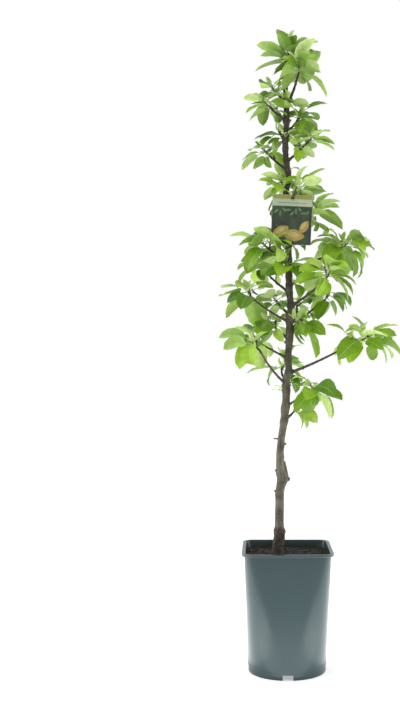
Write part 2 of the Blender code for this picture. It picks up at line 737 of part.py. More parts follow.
def label_outline():
    """The card's outline round its hole, which is at the origin."""
    top = LABEL_HOLE_DROP
    outline = []
    for quarter in range(4):
        middle = math.radians(90 * quarter + 45)
        x = math.copysign(LABEL_WIDTH / 2 - LABEL_CORNER, math.cos(middle))
        y = top - LABEL_HEIGHT / 2 + math.copysign(LABEL_HEIGHT / 2 - LABEL_CORNER, math.sin(middle))
        for step in range(5):
            angle = math.radians(90 * (quarter + step / 4))
            outline.append((x + LABEL_CORNER * math.cos(angle), y + LABEL_CORNER * math.sin(angle)))
    return outline


def make_label():
    curve = bpy.data.curves.new("label", "CURVE")
    curve.dimensions = "2D"
    curve.fill_mode = "BOTH"
    curve.extrude = LABEL_THICKNESS / 2
    rim = [(LABEL_HOLE_RADIUS * math.cos(a), LABEL_HOLE_RADIUS * math.sin(a)) for a in circle_angles(12)]
    for outline in (label_outline(), rim):
        spline = curve.splines.new("POLY")
        spline.use_cyclic_u = True
        spline.points.add(len(outline) - 1)
        for spot, point in zip(spline.points, outline):
            spot.co = (*point, 0, 1)
    guide = bpy.data.objects.new("label guide", curve)
    parts.objects.link(guide)
    bm = bmesh.new()
    bm.from_mesh(evaluated_mesh(guide))
    bmesh.ops.remove_doubles(bm, verts=bm.verts, dist=WELD)
    bmesh.ops.recalc_face_normals(bm, faces=bm.faces)
    bpy.data.objects.remove(guide, do_unlink=True)
    label = new_object("label", bm, parts, "label")
    label.matrix_world = label_place()


def circle_angles(count):
    return [math.tau * index / count for index in range(count)]


def claim_label():
    bm = bmesh.new()
    place = label_place() @ Matrix.Translation((0, LABEL_HOLE_DROP - LABEL_HEIGHT / 2, 0))
    size = Matrix.Diagonal((LABEL_WIDTH + 2 * GUARD, LABEL_HEIGHT + 2 * GUARD, LABEL_THICKNESS + 2 * GUARD, 1))
    bmesh.ops.create_cube(bm, size=1, matrix=place @ size)
    return claim(bm, "label", "card")


def make_tree():
    cutter = make_trunk()
    taken = [claim_limb(*trunk_line(), "trunk", "limb"), claim_label()]
    for name in BOUGHS:
        make_bough(name, cutter)
        taken.append(claim_limb(*bough_line(name), name, "bough"))
    grown = []
    for number, (name, settings) in enumerate(MASSES.items()):
        mass = MASS_DEFAULTS | {"aim": settings["stem"][0], "seed": number} | settings
        twigs = grow_twigs(name, mass, random.Random(number), taken)
        for twig in twigs:
            taken.append(claim_limb(twig, [STEM_RADIUS] * len(twig), name, "twig"))
        grown.append((name, mass, twigs))
    for name, mass, twigs in grown:
        leaves = grow_leaves(name, mass, twigs, random.Random(mass["seed"]), taken)
        make_mass(name, mass, twigs, leaves, cutter)


clear_scene()
parts = new_collection(OBJECT_NAME)
cutters = new_collection("cutters")
make_pot()
make_soil()
make_label()
make_tree()
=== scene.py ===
# Looks of a potted columnar pear tree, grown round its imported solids. Metres, Z up, the card label faces -Y.
import math
import random
from functools import cache

import bmesh
import bpy
from mathutils import Matrix, Vector, noise
from mathutils.bvhtree import BVHTree


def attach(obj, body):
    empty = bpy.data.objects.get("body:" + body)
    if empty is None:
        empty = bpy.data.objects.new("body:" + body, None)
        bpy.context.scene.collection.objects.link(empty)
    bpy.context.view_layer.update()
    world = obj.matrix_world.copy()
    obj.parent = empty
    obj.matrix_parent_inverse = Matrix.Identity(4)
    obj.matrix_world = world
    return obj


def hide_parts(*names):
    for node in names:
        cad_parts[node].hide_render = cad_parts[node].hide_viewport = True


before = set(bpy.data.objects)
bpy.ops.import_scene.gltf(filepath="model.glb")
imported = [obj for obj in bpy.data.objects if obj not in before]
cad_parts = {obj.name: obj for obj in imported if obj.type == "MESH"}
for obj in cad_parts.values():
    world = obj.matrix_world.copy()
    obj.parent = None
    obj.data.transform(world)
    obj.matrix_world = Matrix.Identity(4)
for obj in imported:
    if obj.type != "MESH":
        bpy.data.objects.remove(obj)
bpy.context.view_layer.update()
print("frame loaded with", len(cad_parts), "nodes")

gap = 0.0003
goldenAngle = 137.508


# materials

mottle = {  # what a mottled finish has where its own look doesn't say
    "toneSpan": (0.28, 0.72), "glossSpan": (0.3, 0.7), "roughSpread": 0.08, "detail": 5.0, "rough": 0.6,
    "fineDetail": 4.0, "plain": {},
}


def spaced(count, first, last):
    return [first + (last - first) * index / (count - 1) for index in range(count)]


def addNode(tree, kind, inputs=None, **values):
    made = tree.nodes.new("ShaderNode" + kind)
    for key, value in values.items():
        setattr(made, key, value)
    for key, value in (inputs or {}).items():
        if isinstance(value, bpy.types.NodeSocket):
            tree.links.new(value, made.inputs[key])
        else:
            made.inputs[key].default_value = value
    return made


def objectPlace(tree, stretch=(1, 1, 1)):
    # where a point lies on its piece; a pattern is drawn out along an axis whose stretch is under 1
    place = addNode(tree, "TexCoord").outputs["Object"]
    return addNode(tree, "Mapping", {"Vector": place, "Scale": stretch}).outputs["Vector"]


def cloudy(tree, place, scale, detail, rough=0.5):
    inputs = {"Vector": place, "Scale": scale, "Detail": detail, "Roughness": rough}
    return addNode(tree, "TexNoise", inputs).outputs["Fac"]


def maths(tree, operation, first, second=0.0):
    return addNode(tree, "Math", {0: first, 1: second}, operation=operation).outputs["Value"]


def ranged(tree, value, start, end, kind="LINEAR"):
    # carries a value from the range start over to the range end
    inputs = {"Value": value, "From Min": start[0], "From Max": start[1], "To Min": end[0], "To Max": end[1]}
    return addNode(tree, "MapRange", inputs, interpolation_type=kind).outputs["Result"]


def blended(tree, share, first, second, kind="MIX"):
    inputs = {"Factor": share, "A": first, "B": second}
    return addNode(tree, "Mix", inputs, data_type="RGBA", blend_type=kind).outputs["Result"]


def colourRamp(tree, value, places, tones):
    ramp = addNode(tree, "ValToRGB", {"Fac": value})
    elements = ramp.color_ramp.elements
    while len(elements) < len(tones):
        elements.new(0.5)
    for element, place, tone in zip(elements, places, tones):
        element.position = place
        element.color = (*tone, 1)
    return ramp.outputs["Color"]


def roughen(tree, shader, height, strength, depth):
    bump = addNode(tree, "Bump", {"Height": height, "Strength": strength, "Distance": depth})
    tree.links.new(bump.outputs["Normal"], shader.inputs["Normal"])


def newMaterial(name, colour, roughness, plain):
    material = bpy.data.materials.new(name)
    material.use_nodes = True
    shader = material.node_tree.nodes["Principled BSDF"]
    shader.inputs["Base Color"].default_value = (*colour, 1)
    shader.inputs["Roughness"].default_value = roughness
    for socket, value in plain.items():
        shader.inputs[socket].default_value = value
    material.diffuse_color = (*colour, 1)
    return material, material.node_tree, shader


def mottled(name, look):
    # two or three tones by a broad noise, with a finer noise as relief and a little change of gloss
    look = mottle | look
    tones, roughness, spread = look["tones"], look["roughness"], look["roughSpread"]
    material, tree, shader = newMaterial(name, tones[1], roughness, look["plain"])
    place = objectPlace(tree)
    broad = cloudy(tree, place, look["scale"], look["detail"], look["rough"])
    colour = colourRamp(tree, broad, spaced(len(tones), *look["toneSpan"]), tones)
    gloss = ranged(tree, broad, look["glossSpan"], (roughness - spread, roughness + spread))
    tree.links.new(colour, shader.inputs["Base Color"])
    tree.links.new(gloss, shader.inputs["Roughness"])
    fine = cloudy(tree, place, look["bumpScale"], look["fineDetail"])
    roughen(tree, shader, fine, look["bump"], look["bumpDepth"])
    return material


barkLook = {
    "low": ((0.062, 0.054, 0.037), (0.150, 0.138, 0.100)), "lowPlaces": (0.32, 0.66),
    "high": ((0.028, 0.022, 0.016), (0.080, 0.066, 0.047)), "highPlaces": (0.32, 0.70),
    "darkens": (0.79, 1.17), "blotchScale": 34.0, "roughness": 0.78, "grainScale": 260.0,
    "grainStretch": (1.0, 1.0, 0.22), "bump": 0.7, "bumpDepth": 0.0006,
    "belts": ((0.52, 0.50, 0.47), (0.95, 0.95, 0.94), (1.30, 1.32, 1.28)), "beltPlaces": (0.34, 0.50, 0.68),
    "beltScale": 75.0, "beltStretch": (0.35, 0.35, 1.0), "lenticel": (0.27, 0.25, 0.19, 1),
    "lenticelScale": 190.0, "lenticelStretch": (1.0, 1.0, 2.6), "lenticelEdge": (0.13, 0.21),
    "lenticelShare": (0.8, 0.0),
    "crust": ((0.014, 0.009, 0.007), (0.046, 0.030, 0.021), (0.135, 0.090, 0.060)),
    "crustPlaces": (0.34, 0.52, 0.72), "crustScale": 210.0, "crustShare": (0.85, 0.0), "crustWaver": 0.012,
    "crustEdge": (0.004, 0.008),
}


def barkMaterial(name, low, high):
    # streaked bark that darkens upwards, with pale lenticels, on a near-black rough rootstock
    look = barkLook
    material, tree, shader = newMaterial(name, low[1], look["roughness"], {})
    place = objectPlace(tree)
    height = addNode(tree, "SeparateXYZ", {"Vector": place}).outputs["Z"]
    grain = cloudy(tree, objectPlace(tree, look["grainStretch"]), look["grainScale"], 6.0, 0.65)
    lowTone = colourRamp(tree, grain, look["lowPlaces"], low)
    highTone = colourRamp(tree, grain, look["highPlaces"], high)
    blotch = cloudy(tree, place, look["blotchScale"], 3.0)
    share = ranged(tree, maths(tree, "ADD", height, blotch), look["darkens"], (0, 1))
    body = blended(tree, share, lowTone, highTone)
    belt = cloudy(tree, objectPlace(tree, look["beltStretch"]), look["beltScale"], 5.0, 0.6)
    belted = blended(tree, 1.0, body, colourRamp(tree, belt, look["beltPlaces"], look["belts"]), "MULTIPLY")
    flecks = {"Vector": objectPlace(tree, look["lenticelStretch"]), "Scale": look["lenticelScale"]}
    fleck = addNode(tree, "TexVoronoi", flecks).outputs["Distance"]
    isFleck = ranged(tree, fleck, look["lenticelEdge"], look["lenticelShare"])
    flecked = blended(tree, isFleck, belted, look["lenticel"])
    top = soil["level"] + trunk["rootstockTop"]
    edge = maths(tree, "ADD", height, maths(tree, "MULTIPLY", blotch, look["crustWaver"]))
    isCrust = ranged(tree, edge, [top + part for part in look["crustEdge"]], look["crustShare"])
    crust = cloudy(tree, place, look["crustScale"], 5.0, 0.7)
    crust = colourRamp(tree, crust, look["crustPlaces"], look["crust"])
    tree.links.new(blended(tree, isCrust, flecked, crust), shader.inputs["Base Color"])
    roughen(tree, shader, maths(tree, "ADD", grain, isFleck), look["bump"], look["bumpDepth"])
    return material


print("materials ready")


# mesh helpers

def newMesh(name, bm):
    mesh = bpy.data.meshes.new(name)
    bm.to_mesh(mesh)
    bm.free()
    return mesh


def extruded(bm, edges):
    # a new row of faces grown from a loop of edges, with the points and edges of its far side
    grown = bmesh.ops.extrude_edge_only(bm, edges=edges)["geom"]
    verts = {item for item in grown if isinstance(item, bmesh.types.BMVert)}
    edges = [item for item in grown if isinstance(item, bmesh.types.BMEdge) and set(item.verts) <= verts]
    return verts, edges


@cache
def tubeTemplate(rings, sides):
    # a tube one unit in radius and one tall, closed at both ends
    bm = bmesh.new()
    bmesh.ops.create_circle(bm, cap_ends=True, segments=sides, radius=1)
    edges = bm.edges[:]
    for _ in range(rings - 1):
        verts, edges = extruded(bm, edges)
        bmesh.ops.translate(bm, verts=list(verts), vec=(0, 0, 1 / (rings - 1)))
    bmesh.ops.edgeloop_fill(bm, edges=edges)
    bmesh.ops.recalc_face_normals(bm, faces=bm.faces)
    return newMesh("tube template", bm)


def addCopy(bm, template):
    vertCount, faceCount = len(bm.verts), len(bm.faces)
    bm.from_mesh(template)
    bm.verts.ensure_lookup_table()
    bm.faces.ensure_lookup_table()
    return bm.verts[vertCount:], bm.faces[faceCount:]


def smoothLine(points, cuts):
    # a smooth curve through the points
    line = []
    last = len(points) - 1
    for index in range(last):
        a, b, c, d = points[max(index - 1, 0)], points[index], points[index + 1], points[min(index + 2, last)]
        for cut in range(cuts):
            t = cut / cuts
            bend = (2 * a - 5 * b + 4 * c - d) * t * t + (3 * b - a - 3 * c + d) * t**3
            line.append(0.5 * (2 * b + (c - a) * t + bend))
    line.append(points[-1].copy())
    return line


def addTube(bm, points, radii, sides, relief=None):
    # a tapering tube along a row of points; relief changes the radius by ring and by way round
    verts, faces = addCopy(bm, tubeTemplate(len(points), sides))
    last = len(points) - 1
    rings = []
    side = None
    for index, point in enumerate(points):
        way = (points[min(index + 1, last)] - points[max(index - 1, 0)]).normalized()
        side = way.orthogonal() if side is None else side - way * side.dot(way)
        side = side.normalized()
        rings.append((point, side, way.cross(side)))
    for vert in verts:
        x, y, level = vert.co
        ring = round(level * last)
        point, side, up = rings[ring]
        change = relief(ring, x, y) if relief else 1
        vert.co = point + (side * x + up * y) * radii[ring] * change
    return faces


def addPiece(name, bm, materials, nodes, sharp):
    mesh = newMesh(name, bm)
    for material in materials:
        mesh.materials.append(material)
    mesh.shade_smooth()
    mesh.set_sharp_from_angle(angle=math.radians(sharp))
    piece = bpy.data.objects.new(name, mesh)
    bpy.context.scene.collection.objects.link(piece)
    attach(piece, "root")
    if nodes:
        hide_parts(*nodes)
    print(name, "has", len(mesh.polygons), "faces")


def meshObject(name, bm):
    made = bpy.data.objects.new(name, newMesh(name, bm))
    bpy.context.scene.collection.objects.link(made)
    return made


def evaluatedMesh(shape):
    return bpy.data.meshes.new_from_object(shape.evaluated_get(bpy.context.evaluated_depsgraph_get()))


# pot

pot = {
    "height": 0.1774, "width": 0.122, "cornerRadius": 0.011, "footRadius": 0.0566, "wall": 0.0012,
    "footSquareness": 0.03, "overhang": 0.004, "drop": 0.0037, "lip": 0.0014, "round": 0.0004,
    "footHeight": 0.0083, "footInset": 0.0004, "footWall": 0.0014, "floorUnderside": 0.0075,
    "floorTop": 0.009, "notchWidth": 0.015, "notchHeight": 0.0072, "notchDepth": 0.012,
    "drainRadius": 0.004, "drainCircle": 0.036, "padRadius": 0.015, "rimHoleRadius": 0.0012,
    "cutDepth": 0.004, "ringUnderSoil": 0.004, "sides": 128, "wallRings": 24,
    "plastic": {
        "tones": ((0.021, 0.049, 0.054), (0.023, 0.052, 0.058)), "roughness": 0.30, "detail": 0.0,
        "roughSpread": 0.004, "scale": 9.0, "bumpScale": 1400.0, "bump": 0.05, "bumpDepth": 0.0001,
        "plain": {"Specular IOR Level": 0.5},
    },
}


def potEdge(angle, height, inset):
    # how far the pot's wall is from its axis: a rounded square at the rim that turns round towards the foot
    rise = (height - pot["footHeight"]) / (pot["height"] - pot["footHeight"])
    squareness = min(1, max(pot["footSquareness"], rise))
    radius = pot["footRadius"] + (pot["cornerRadius"] - pot["footRadius"]) * squareness - inset
    reach = (pot["width"] / 2 - pot["cornerRadius"]) * squareness
    along = max(abs(math.cos(angle)), abs(math.sin(angle)))
    aside = min(abs(math.cos(angle)), abs(math.sin(angle)))
    flat = (reach + radius) / along
    if flat * aside <= reach:
        return flat
    both = reach * (along + aside)
    return both + math.sqrt(both * both - 2 * reach * reach + radius * radius)


def potProfile():
    top, wall, over, lip, soft = pot["height"], pot["wall"], pot["overhang"], pot["lip"], pot["round"]
    drop, foot, inset = pot["drop"], pot["footHeight"], pot["footInset"]
    under = inset + pot["footWall"]
    profile = [
        (pot["floorTop"], wall), (soil["level"] - pot["ringUnderSoil"], wall), (top - 3 * soft, wall),
        (top - soft, wall - 0.3 * soft), (top, wall - 1.3 * soft), (top, 2.2 * soft - over),
        (top - 0.3 * soft, 0.8 * soft - over), (top - 1.3 * soft, -over), (top - drop + soft, -over),
        (top - drop, 0.6 * soft - over), (top - drop, wall - over - 0.5 * soft),
        (top - drop + 0.5 * soft, wall - over), (top - lip - soft, wall - over),
        (top - lip, wall - over + soft), (top - lip, -soft), (top - lip - soft, 0),
    ]
    high, low = top - lip - 2 * soft, foot + 1.5 * soft
    rings = pot["wallRings"]
    profile += [(high + (low - high) * ring / rings, 0) for ring in range(rings + 1)]
    profile += [
        (foot + 0.3 * soft, 0.5 * inset), (foot, inset), (1.2 * soft, inset),
        (0.3 * soft, inset + 0.3 * soft), (0, inset + soft), (0, under - 0.5 * soft), (0.5 * soft, under),
        (pot["floorUnderside"], under),
    ]
    return profile


def wallPoint(angle, height, inset):
    edge = potEdge(angle, height, inset)
    return edge * math.cos(angle), edge * math.sin(angle), height


def addPeg(bm, radius, depth, place, sides):
    bmesh.ops.create_cone(bm, cap_ends=True, segments=sides, radius1=radius, radius2=radius, depth=depth,
                          matrix=place)


def makePot():
    profile = potProfile()
    bm = bmesh.new()
    verts, _ = addCopy(bm, tubeTemplate(len(profile), pot["sides"]))
    for vert in verts:
        vert.co = wallPoint(math.atan2(vert.co.y, vert.co.x), *profile[round(vert.co.z * (len(profile) - 1))])
    bmesh.ops.recalc_face_normals(bm, faces=bm.faces)
    body = meshObject("pot body", bm)

    bm = bmesh.new()
    middle = (pot["floorUnderside"] + pot["floorTop"]) / 2
    addPeg(bm, pot["padRadius"], middle, Matrix.Translation((0, 0, middle / 2)), 48)
    pad = meshObject("pot pad", bm)

    bm = bmesh.new()
    for side in range(4):
        turn = Matrix.Rotation(math.radians(90 * side), 4, "Z")
        notch = Matrix.Diagonal((pot["notchDepth"], pot["notchWidth"], 2 * pot["notchHeight"], 1))
        bmesh.ops.create_cube(bm, size=1, matrix=turn @ Matrix.Translation((pot["footRadius"], 0, 0)) @ notch)
        diagonal = turn @ Matrix.Rotation(math.radians(45), 4, "Z")
        hole = diagonal @ Matrix.Translation((pot["drainCircle"], 0, middle))
        addPeg(bm, pot["drainRadius"], pot["cutDepth"], hole, 32)
    for side in (-1, 1):
        x = side * (pot["width"] / 2 + (pot["overhang"] - pot["wall"]) / 2)
        hole = Matrix.Translation((x, 0, pot["height"] - pot["cutDepth"] / 4))
        addPeg(bm, pot["rimHoleRadius"], pot["cutDepth"], hole, 16)
    holes = meshObject("pot holes", bm)
    for helper, operation in ((pad, "UNION"), (holes, "DIFFERENCE")):
        modifier = body.modifiers.new(operation, "BOOLEAN")
        modifier.operation = operation
        modifier.object = helper
    bm = bmesh.new()
    bm.from_mesh(evaluatedMesh(body))
    for helper in (body, pad, holes):
        bpy.data.objects.remove(helper, do_unlink=True)
    addPiece("nurseryPot", bm, [mottled("moulded plastic", pot["plastic"])], ["pot"], 32)


# compost

soil = {
    "level": 0.1674, "cells": 60, "wallRings": 6, "wallTop": 0.003, "sink": 0.0012, "relief": 0.0016,
    "lumpScale": 95, "lumpShare": 0.7, "grainScale": 420, "grainShare": 0.45, "grainShift": (3, 7, 1),
    "mound": 0.0022, "moundReach": 0.016,
    "peat": {
        "tones": ((0.005, 0.0035, 0.0028), (0.013, 0.009, 0.0065), (0.033, 0.021, 0.015)), "roughness": 0.93,
        "roughSpread": 0.05, "scale": 320.0, "bumpScale": 900.0, "bump": 0.9, "bumpDepth": 0.0012,
    },
}
crumb = {
    "count": 420, "fibres": 70, "seed": 5, "size": (0.0008, 0.0026), "inset": 0.003, "room": 1.2,
    "raised": 0.25, "shape": ((0.7, 1.3), (0.6, 1.1), (0.45, 0.8)), "fibreShape": (2.56, 0.224, 0.224),
    "lean": 0.5, "jag": 0.22, "kinds": (0, 0, 0, 1, 2), "fibreKinds": (1, 2),
    "look": {"roughness": 0.9, "scale": 500.0, "bumpScale": 1600.0, "bump": 0.7, "bumpDepth": 0.0005},
    "tones": {
        "dark crumbs": ((0.006, 0.004, 0.003), (0.022, 0.015, 0.010)),
        "bark crumbs": ((0.026, 0.013, 0.008), (0.062, 0.032, 0.020)),
        "straw crumbs": ((0.042, 0.030, 0.019), (0.098, 0.072, 0.046)),
    },
}


def soilHeight(x, y):
    spot = Vector((x, y, 0))
    lumps = soil["lumpShare"] * noise.noise(spot * soil["lumpScale"])
    grains = soil["grainShare"] * noise.noise(spot * soil["grainScale"] + Vector(soil["grainShift"]))
    stem = trunkCentre(0)
    near = math.exp(-((math.hypot(x - stem.x, y - stem.y) / soil["moundReach"]) ** 2))
    return soil["level"] - soil["sink"] + soil["relief"] * (lumps + grains) + soil["mound"] * near


def makeSoil():
    inset = pot["wall"] + gap
    bm = bmesh.new()
    bmesh.ops.create_grid(bm, x_segments=soil["cells"], y_segments=soil["cells"], size=1)
    reach = max(vert.co.x for vert in bm.verts)
    for vert in bm.verts:
        x, y = vert.co.x / reach, vert.co.y / reach
        share, angle = max(abs(x), abs(y)), math.atan2(y, x)
        edge = potEdge(angle, soil["level"], inset) * share
        x, y = edge * math.cos(angle), edge * math.sin(angle)
        vert.co = (x, y, soilHeight(x, y))
    edges = [edge for edge in bm.edges if edge.is_boundary]
    for height in spaced(soil["wallRings"] + 1, soil["level"] - soil["wallTop"], pot["floorTop"] + gap)[1:]:
        verts, edges = extruded(bm, edges)
        for vert in verts:
            vert.co = wallPoint(math.atan2(vert.co.y, vert.co.x), height, inset)
    bmesh.ops.edgeloop_fill(bm, edges=edges)
    bmesh.ops.recalc_face_normals(bm, faces=bm.faces)
    addPiece("peatBed", bm, [mottled("peat", soil["peat"])], ["soil"], 60)


def makeCrumbs():
    # small jagged clods and fibres that lie half sunk on the compost
    rng = random.Random(crumb["seed"])
    inset = pot["wall"] + gap
    bm = bmesh.new()
    clod = bmesh.new()
    bmesh.ops.create_icosphere(clod, subdivisions=1, radius=1)
    clodMesh = newMesh("clod", clod)
    for index in range(crumb["count"] + crumb["fibres"]):
        isFibre = index >= crumb["count"]
        angle = rng.uniform(0, math.tau)
        away = potEdge(angle, soil["level"], inset + crumb["inset"]) * math.sqrt(rng.uniform(0.0, 1.0))
        size = rng.uniform(*crumb["size"])
        shape = crumb["fibreShape"] if isFibre else [rng.uniform(*span) for span in crumb["shape"]]
        shape = Vector(shape) * size
        turn = Matrix.Rotation(rng.uniform(0, math.tau), 3, "Z")
        turn = turn @ Matrix.Rotation(rng.uniform(-crumb["lean"], crumb["lean"]), 3, "Y")
        away = min(away, potEdge(angle, soil["level"], inset) - crumb["room"] * max(shape))
        x, y = away * math.cos(angle), away * math.sin(angle)
        foot = Vector((x, y, soilHeight(x, y) + crumb["raised"] * shape.z))
        verts, faces = addCopy(bm, clodMesh)
        for vert in verts:
            jag = 1 if isFibre else 1 + rng.uniform(-crumb["jag"], crumb["jag"])
            vert.co = foot + turn @ (vert.co * shape) * jag
        kind = rng.choice(crumb["fibreKinds" if isFibre else "kinds"])
        for face in faces:
            face.material_index = kind
    crumbs = [mottled(name, crumb["look"] | {"tones": tones}) for name, tones in crumb["tones"].items()]
    addPiece("peatCrumbs", bm, crumbs, [], 25)


# trunk and boughs

trunk = {
    "stations": (  # height above the soil, sideways place and thickness where it bends or swells
        (0.000, -0.0131, 0.0158), (0.006, -0.0131, 0.0158), (0.014, -0.0126, 0.0162),
        (0.025, -0.0113, 0.0162), (0.033, -0.0109, 0.0168), (0.039, -0.0111, 0.0140),
        (0.046, -0.0111, 0.0130), (0.070, -0.0107, 0.0128), (0.091, -0.0103, 0.0127),
        (0.107, -0.0080, 0.0136), (0.122, -0.0095, 0.0128), (0.144, -0.0101, 0.0112),
        (0.166, -0.0083, 0.0106), (0.195, -0.0040, 0.0110), (0.210, -0.0024, 0.0116),
        (0.224, -0.0014, 0.0110), (0.252, -0.0004, 0.0104), (0.268, 0.0026, 0.0100),
        (0.284, 0.0015, 0.0099), (0.325, 0.0043, 0.0098), (0.343, 0.0032, 0.0096), (0.360, 0.0060, 0.0094),
        (0.380, 0.0035, 0.0092), (0.450, 0.0022, 0.0088), (0.527, -0.0010, 0.0083), (0.545, 0.0024, 0.0082),
        (0.585, -0.0023, 0.0078), (0.622, -0.0007, 0.0078), (0.648, -0.0007, 0.0076),
        (0.674, -0.0019, 0.0072), (0.692, -0.0014, 0.0064), (0.716, 0.0010, 0.0036),
    ),
    "stubs": (  # height, azimuth, distance from the middle, rise, length and base radius
        (0.108, 0, 0.0085, 100, 0.027, 0.0026), (0.106, 0, 0.0020, 15, 0.0105, 0.0032),
        (0.118, 180, 0.0020, 30, 0.0075, 0.0018), (0.158, 10, 0.0020, 20, 0.0065, 0.0017),
        (0.167, 175, 0.0020, 5, 0.0095, 0.0012), (0.087, 190, 0.0020, 40, 0.0080, 0.0016),
    ),
    "step": 0.0075, "waver": 0.0015, "waveLength": 0.34, "flare": 0.0012, "flareHeight": 0.005,
    "collarSwell": 0.0010, "collarReach": 0.005, "rings": 460, "sides": 40, "sunk": 0.004,
    "waviness": 0.045, "wavePattern": (1.3, 40), "grain": 0.00020, "grainPattern": (7, 260),
    "rootstockTop": 0.037, "rootstockGrain": 0.0013, "rootstockPattern": (3.4, 190), "rootstockShift": 9,
    "stubRings": 7, "stubSides": 14, "stubTaper": (1.15, 0.75), "stubRough": 0.14, "cutInset": 0.25,
    "cutDepth": 0.0003,
    "knobs": (  # height, azimuth, size and reach of each swelling of the bark
        (0.113, 0, 0.0026, 0.009), (0.105, -25, 0.0014, 0.006), (0.118, 180, 0.0010, 0.005),
        (0.141, 20, 0.0010, 0.004), (0.158, 10, 0.0008, 0.004), (0.087, 190, 0.0008, 0.005),
        (0.208, 185, 0.0009, 0.005), (0.300, 30, 0.0008, 0.004), (0.448, -20, 0.0008, 0.004),
    ),
    "cutWood": {
        "tones": ((0.012, 0.010, 0.009), (0.060, 0.048, 0.036)), "roughness": 0.9, "scale": 500.0,
        "bumpScale": 1200.0, "bump": 0.8, "bumpDepth": 0.0005,
    },
}
boughs = {  # height on the trunk, azimuth, rise, length, turn upwards, two thicknesses
    "low_right": (0.2146, -35, 27, 0.0427, 0, 0.0030, 0.0022),
    "back_low": (0.2380, 97, 32, 0.0420, 8, 0.0030, 0.0022),
    "left_low": (0.2466, -142, 44, 0.0666, 12, 0.0034, 0.0023),
    "right_long": (0.2628, -15, 24, 0.0929, 5, 0.0042, 0.0026),
    "left_mid": (0.2841, 142, 24, 0.0484, 0, 0.0034, 0.0024),
    "right_mid": (0.3245, 32, 37, 0.0737, -6, 0.0036, 0.0024),
    "back_mid": (0.3280, 78, 26, 0.0620, 10, 0.0036, 0.0025),
    "left_upper": (0.3377, -168, 31, 0.0612, 8, 0.0032, 0.0023),
    "right_upper": (0.3608, -40, 28, 0.0645, 4, 0.0038, 0.0027),
    "left_shoulder": (0.3809, 138, 36, 0.0630, 6, 0.0036, 0.0025),
    "right_shoulder": (0.4162, 28, 19, 0.0714, 8, 0.0042, 0.0031),
    "back_shoulder": (0.4280, 102, 26, 0.0640, 8, 0.0038, 0.0027),
    "label_spur": (0.5020, -61, 40, 0.0280, 0, 0.0028, 0.0024),
    "fork": (0.6521, -25, 66, 0.0426, 8, 0.0044, 0.0032),
}
boughLook = {
    "step": 0.008, "kink": 5, "sides": 12, "cuts": 4, "knuckle": 0.16, "rough": 0.10, "collar": 0.75,
    "collarReach": 0.0035, "firstKnuckle": 0.004, "roughPattern": (1.8, 0.55), "seed": 21,
    "bud": (0.0030, 0.0046), "budRise": (-0.2, 0.5), "budForward": 0.9, "budOut": 0.7,
}


def direction(azimuth, rise):
    azimuth = math.radians(azimuth)
    rise = math.radians(rise)
    level = math.cos(rise)
    return Vector((level * math.cos(azimuth), level * math.sin(azimuth), math.sin(rise)))


def stationValue(height, column):
    stations = trunk["stations"]
    last = len(stations) - 1
    index = max(i for i in range(last) if stations[i][0] <= height or i == 0)

    def slope(i):
        before = stations[max(i - 1, 0)]
        after = stations[min(i + 1, last)]
        return (after[column] - before[column]) / (after[0] - before[0])

    low, high = stations[index], stations[index + 1]
    span = high[0] - low[0]
    t = (height - low[0]) / span
    return (
        low[column] * (1 + 2 * t) * (1 - t) ** 2
        + high[column] * t * t * (3 - 2 * t)
        + slope(index) * span * t * (1 - t) ** 2
        - slope(index + 1) * span * t * t * (1 - t)
    )


def swell(height, middle, size, reach):
    return size * math.exp(-(((height - middle) / reach) ** 2))


def trunkCentre(height):
    straight = trunk["stations"][1][0]
    bendHeight = max(height, straight)
    waver = trunk["waver"] * math.sin(math.tau * (bendHeight - straight) / trunk["waveLength"])
    return Vector((stationValue(bendHeight, 1), waver, soil["level"] + gap + height))


def limbHeights():
    heights = [bough[0] for bough in boughs.values()]
    return heights + [mass["height"] for mass in masses.values() if "height" in mass]


def trunkRadius(height):
    radius = stationValue(height, 2) / 2
    radius += trunk["flare"] * math.exp(-height / trunk["flareHeight"])
    collars = [swell(height, limb, trunk["collarSwell"], trunk["collarReach"]) for limb in limbHeights()]
    return radius + max(collars)


def trunkLine():
    top = trunk["stations"][-1][0]
    steps = round(top / trunk["step"])
    heights = [top * step / steps for step in range(steps + 1)]
    return [trunkCentre(height) for height in heights], [trunkRadius(height) for height in heights]


def grow(start, azimuth, rise, length, turn, step):
    steps = max(2, round(length / step))
    points = [start]
    for index in range(steps):
        share = (index + 0.5) / steps
        kink = boughLook["kink"] * (-1) ** index
        heading = direction(azimuth + kink, rise + turn * (2 * share - 1))
        points.append(points[-1] + heading * length / steps)
    return points


def boughLine(name):
    height, azimuth, rise, length, turn, thick, thin = boughs[name]
    points = grow(trunkCentre(height), azimuth, rise, length, turn, boughLook["step"])
    return points, spaced(len(points), thick / 2, thin / 2)


# what is taken: each limb, twig and leaf keeps a guard round it that no later leaf may touch

leafRule = {  # the rule of the solids: sizes, guards, and how freely each draw may stray
    "stemRadius": 0.0012, "shootRadius": 0.0010, "stalkRadius": 0.0006, "rootDepth": 0.0006,
    "rootStep": 0.0011, "lead": 0.003, "stemStep": 0.012, "stemTurn": 6, "shootStart": 0.35,
    "shootSpan": 0.6, "shootStray": 40, "shootRise": 25, "shootTurn": 25, "shootSize": (0.8, 1.2),
    "around": 12, "rise": 10, "loosen": 0.35, "innerSize": 0.72, "outerSize": 0.36, "size": (0.85, 1.15),
    "shrink": 0.97, "stalk": (0.7, 1.3), "width": (0.9, 1.1), "fall": (0.5, 1.3), "bladeWidth": 0.58,
    "bladeThickness": 0.0010, "bladeFold": 0.22, "bendPlace": 0.45, "stalkGap": 0.004, "guard": 0.0009,
    "limbSides": 6, "tries": 14, "bareFaces": ((0.0, 0.392), (0.574, 0.625)), "bareHalfWidth": 0.005,
}


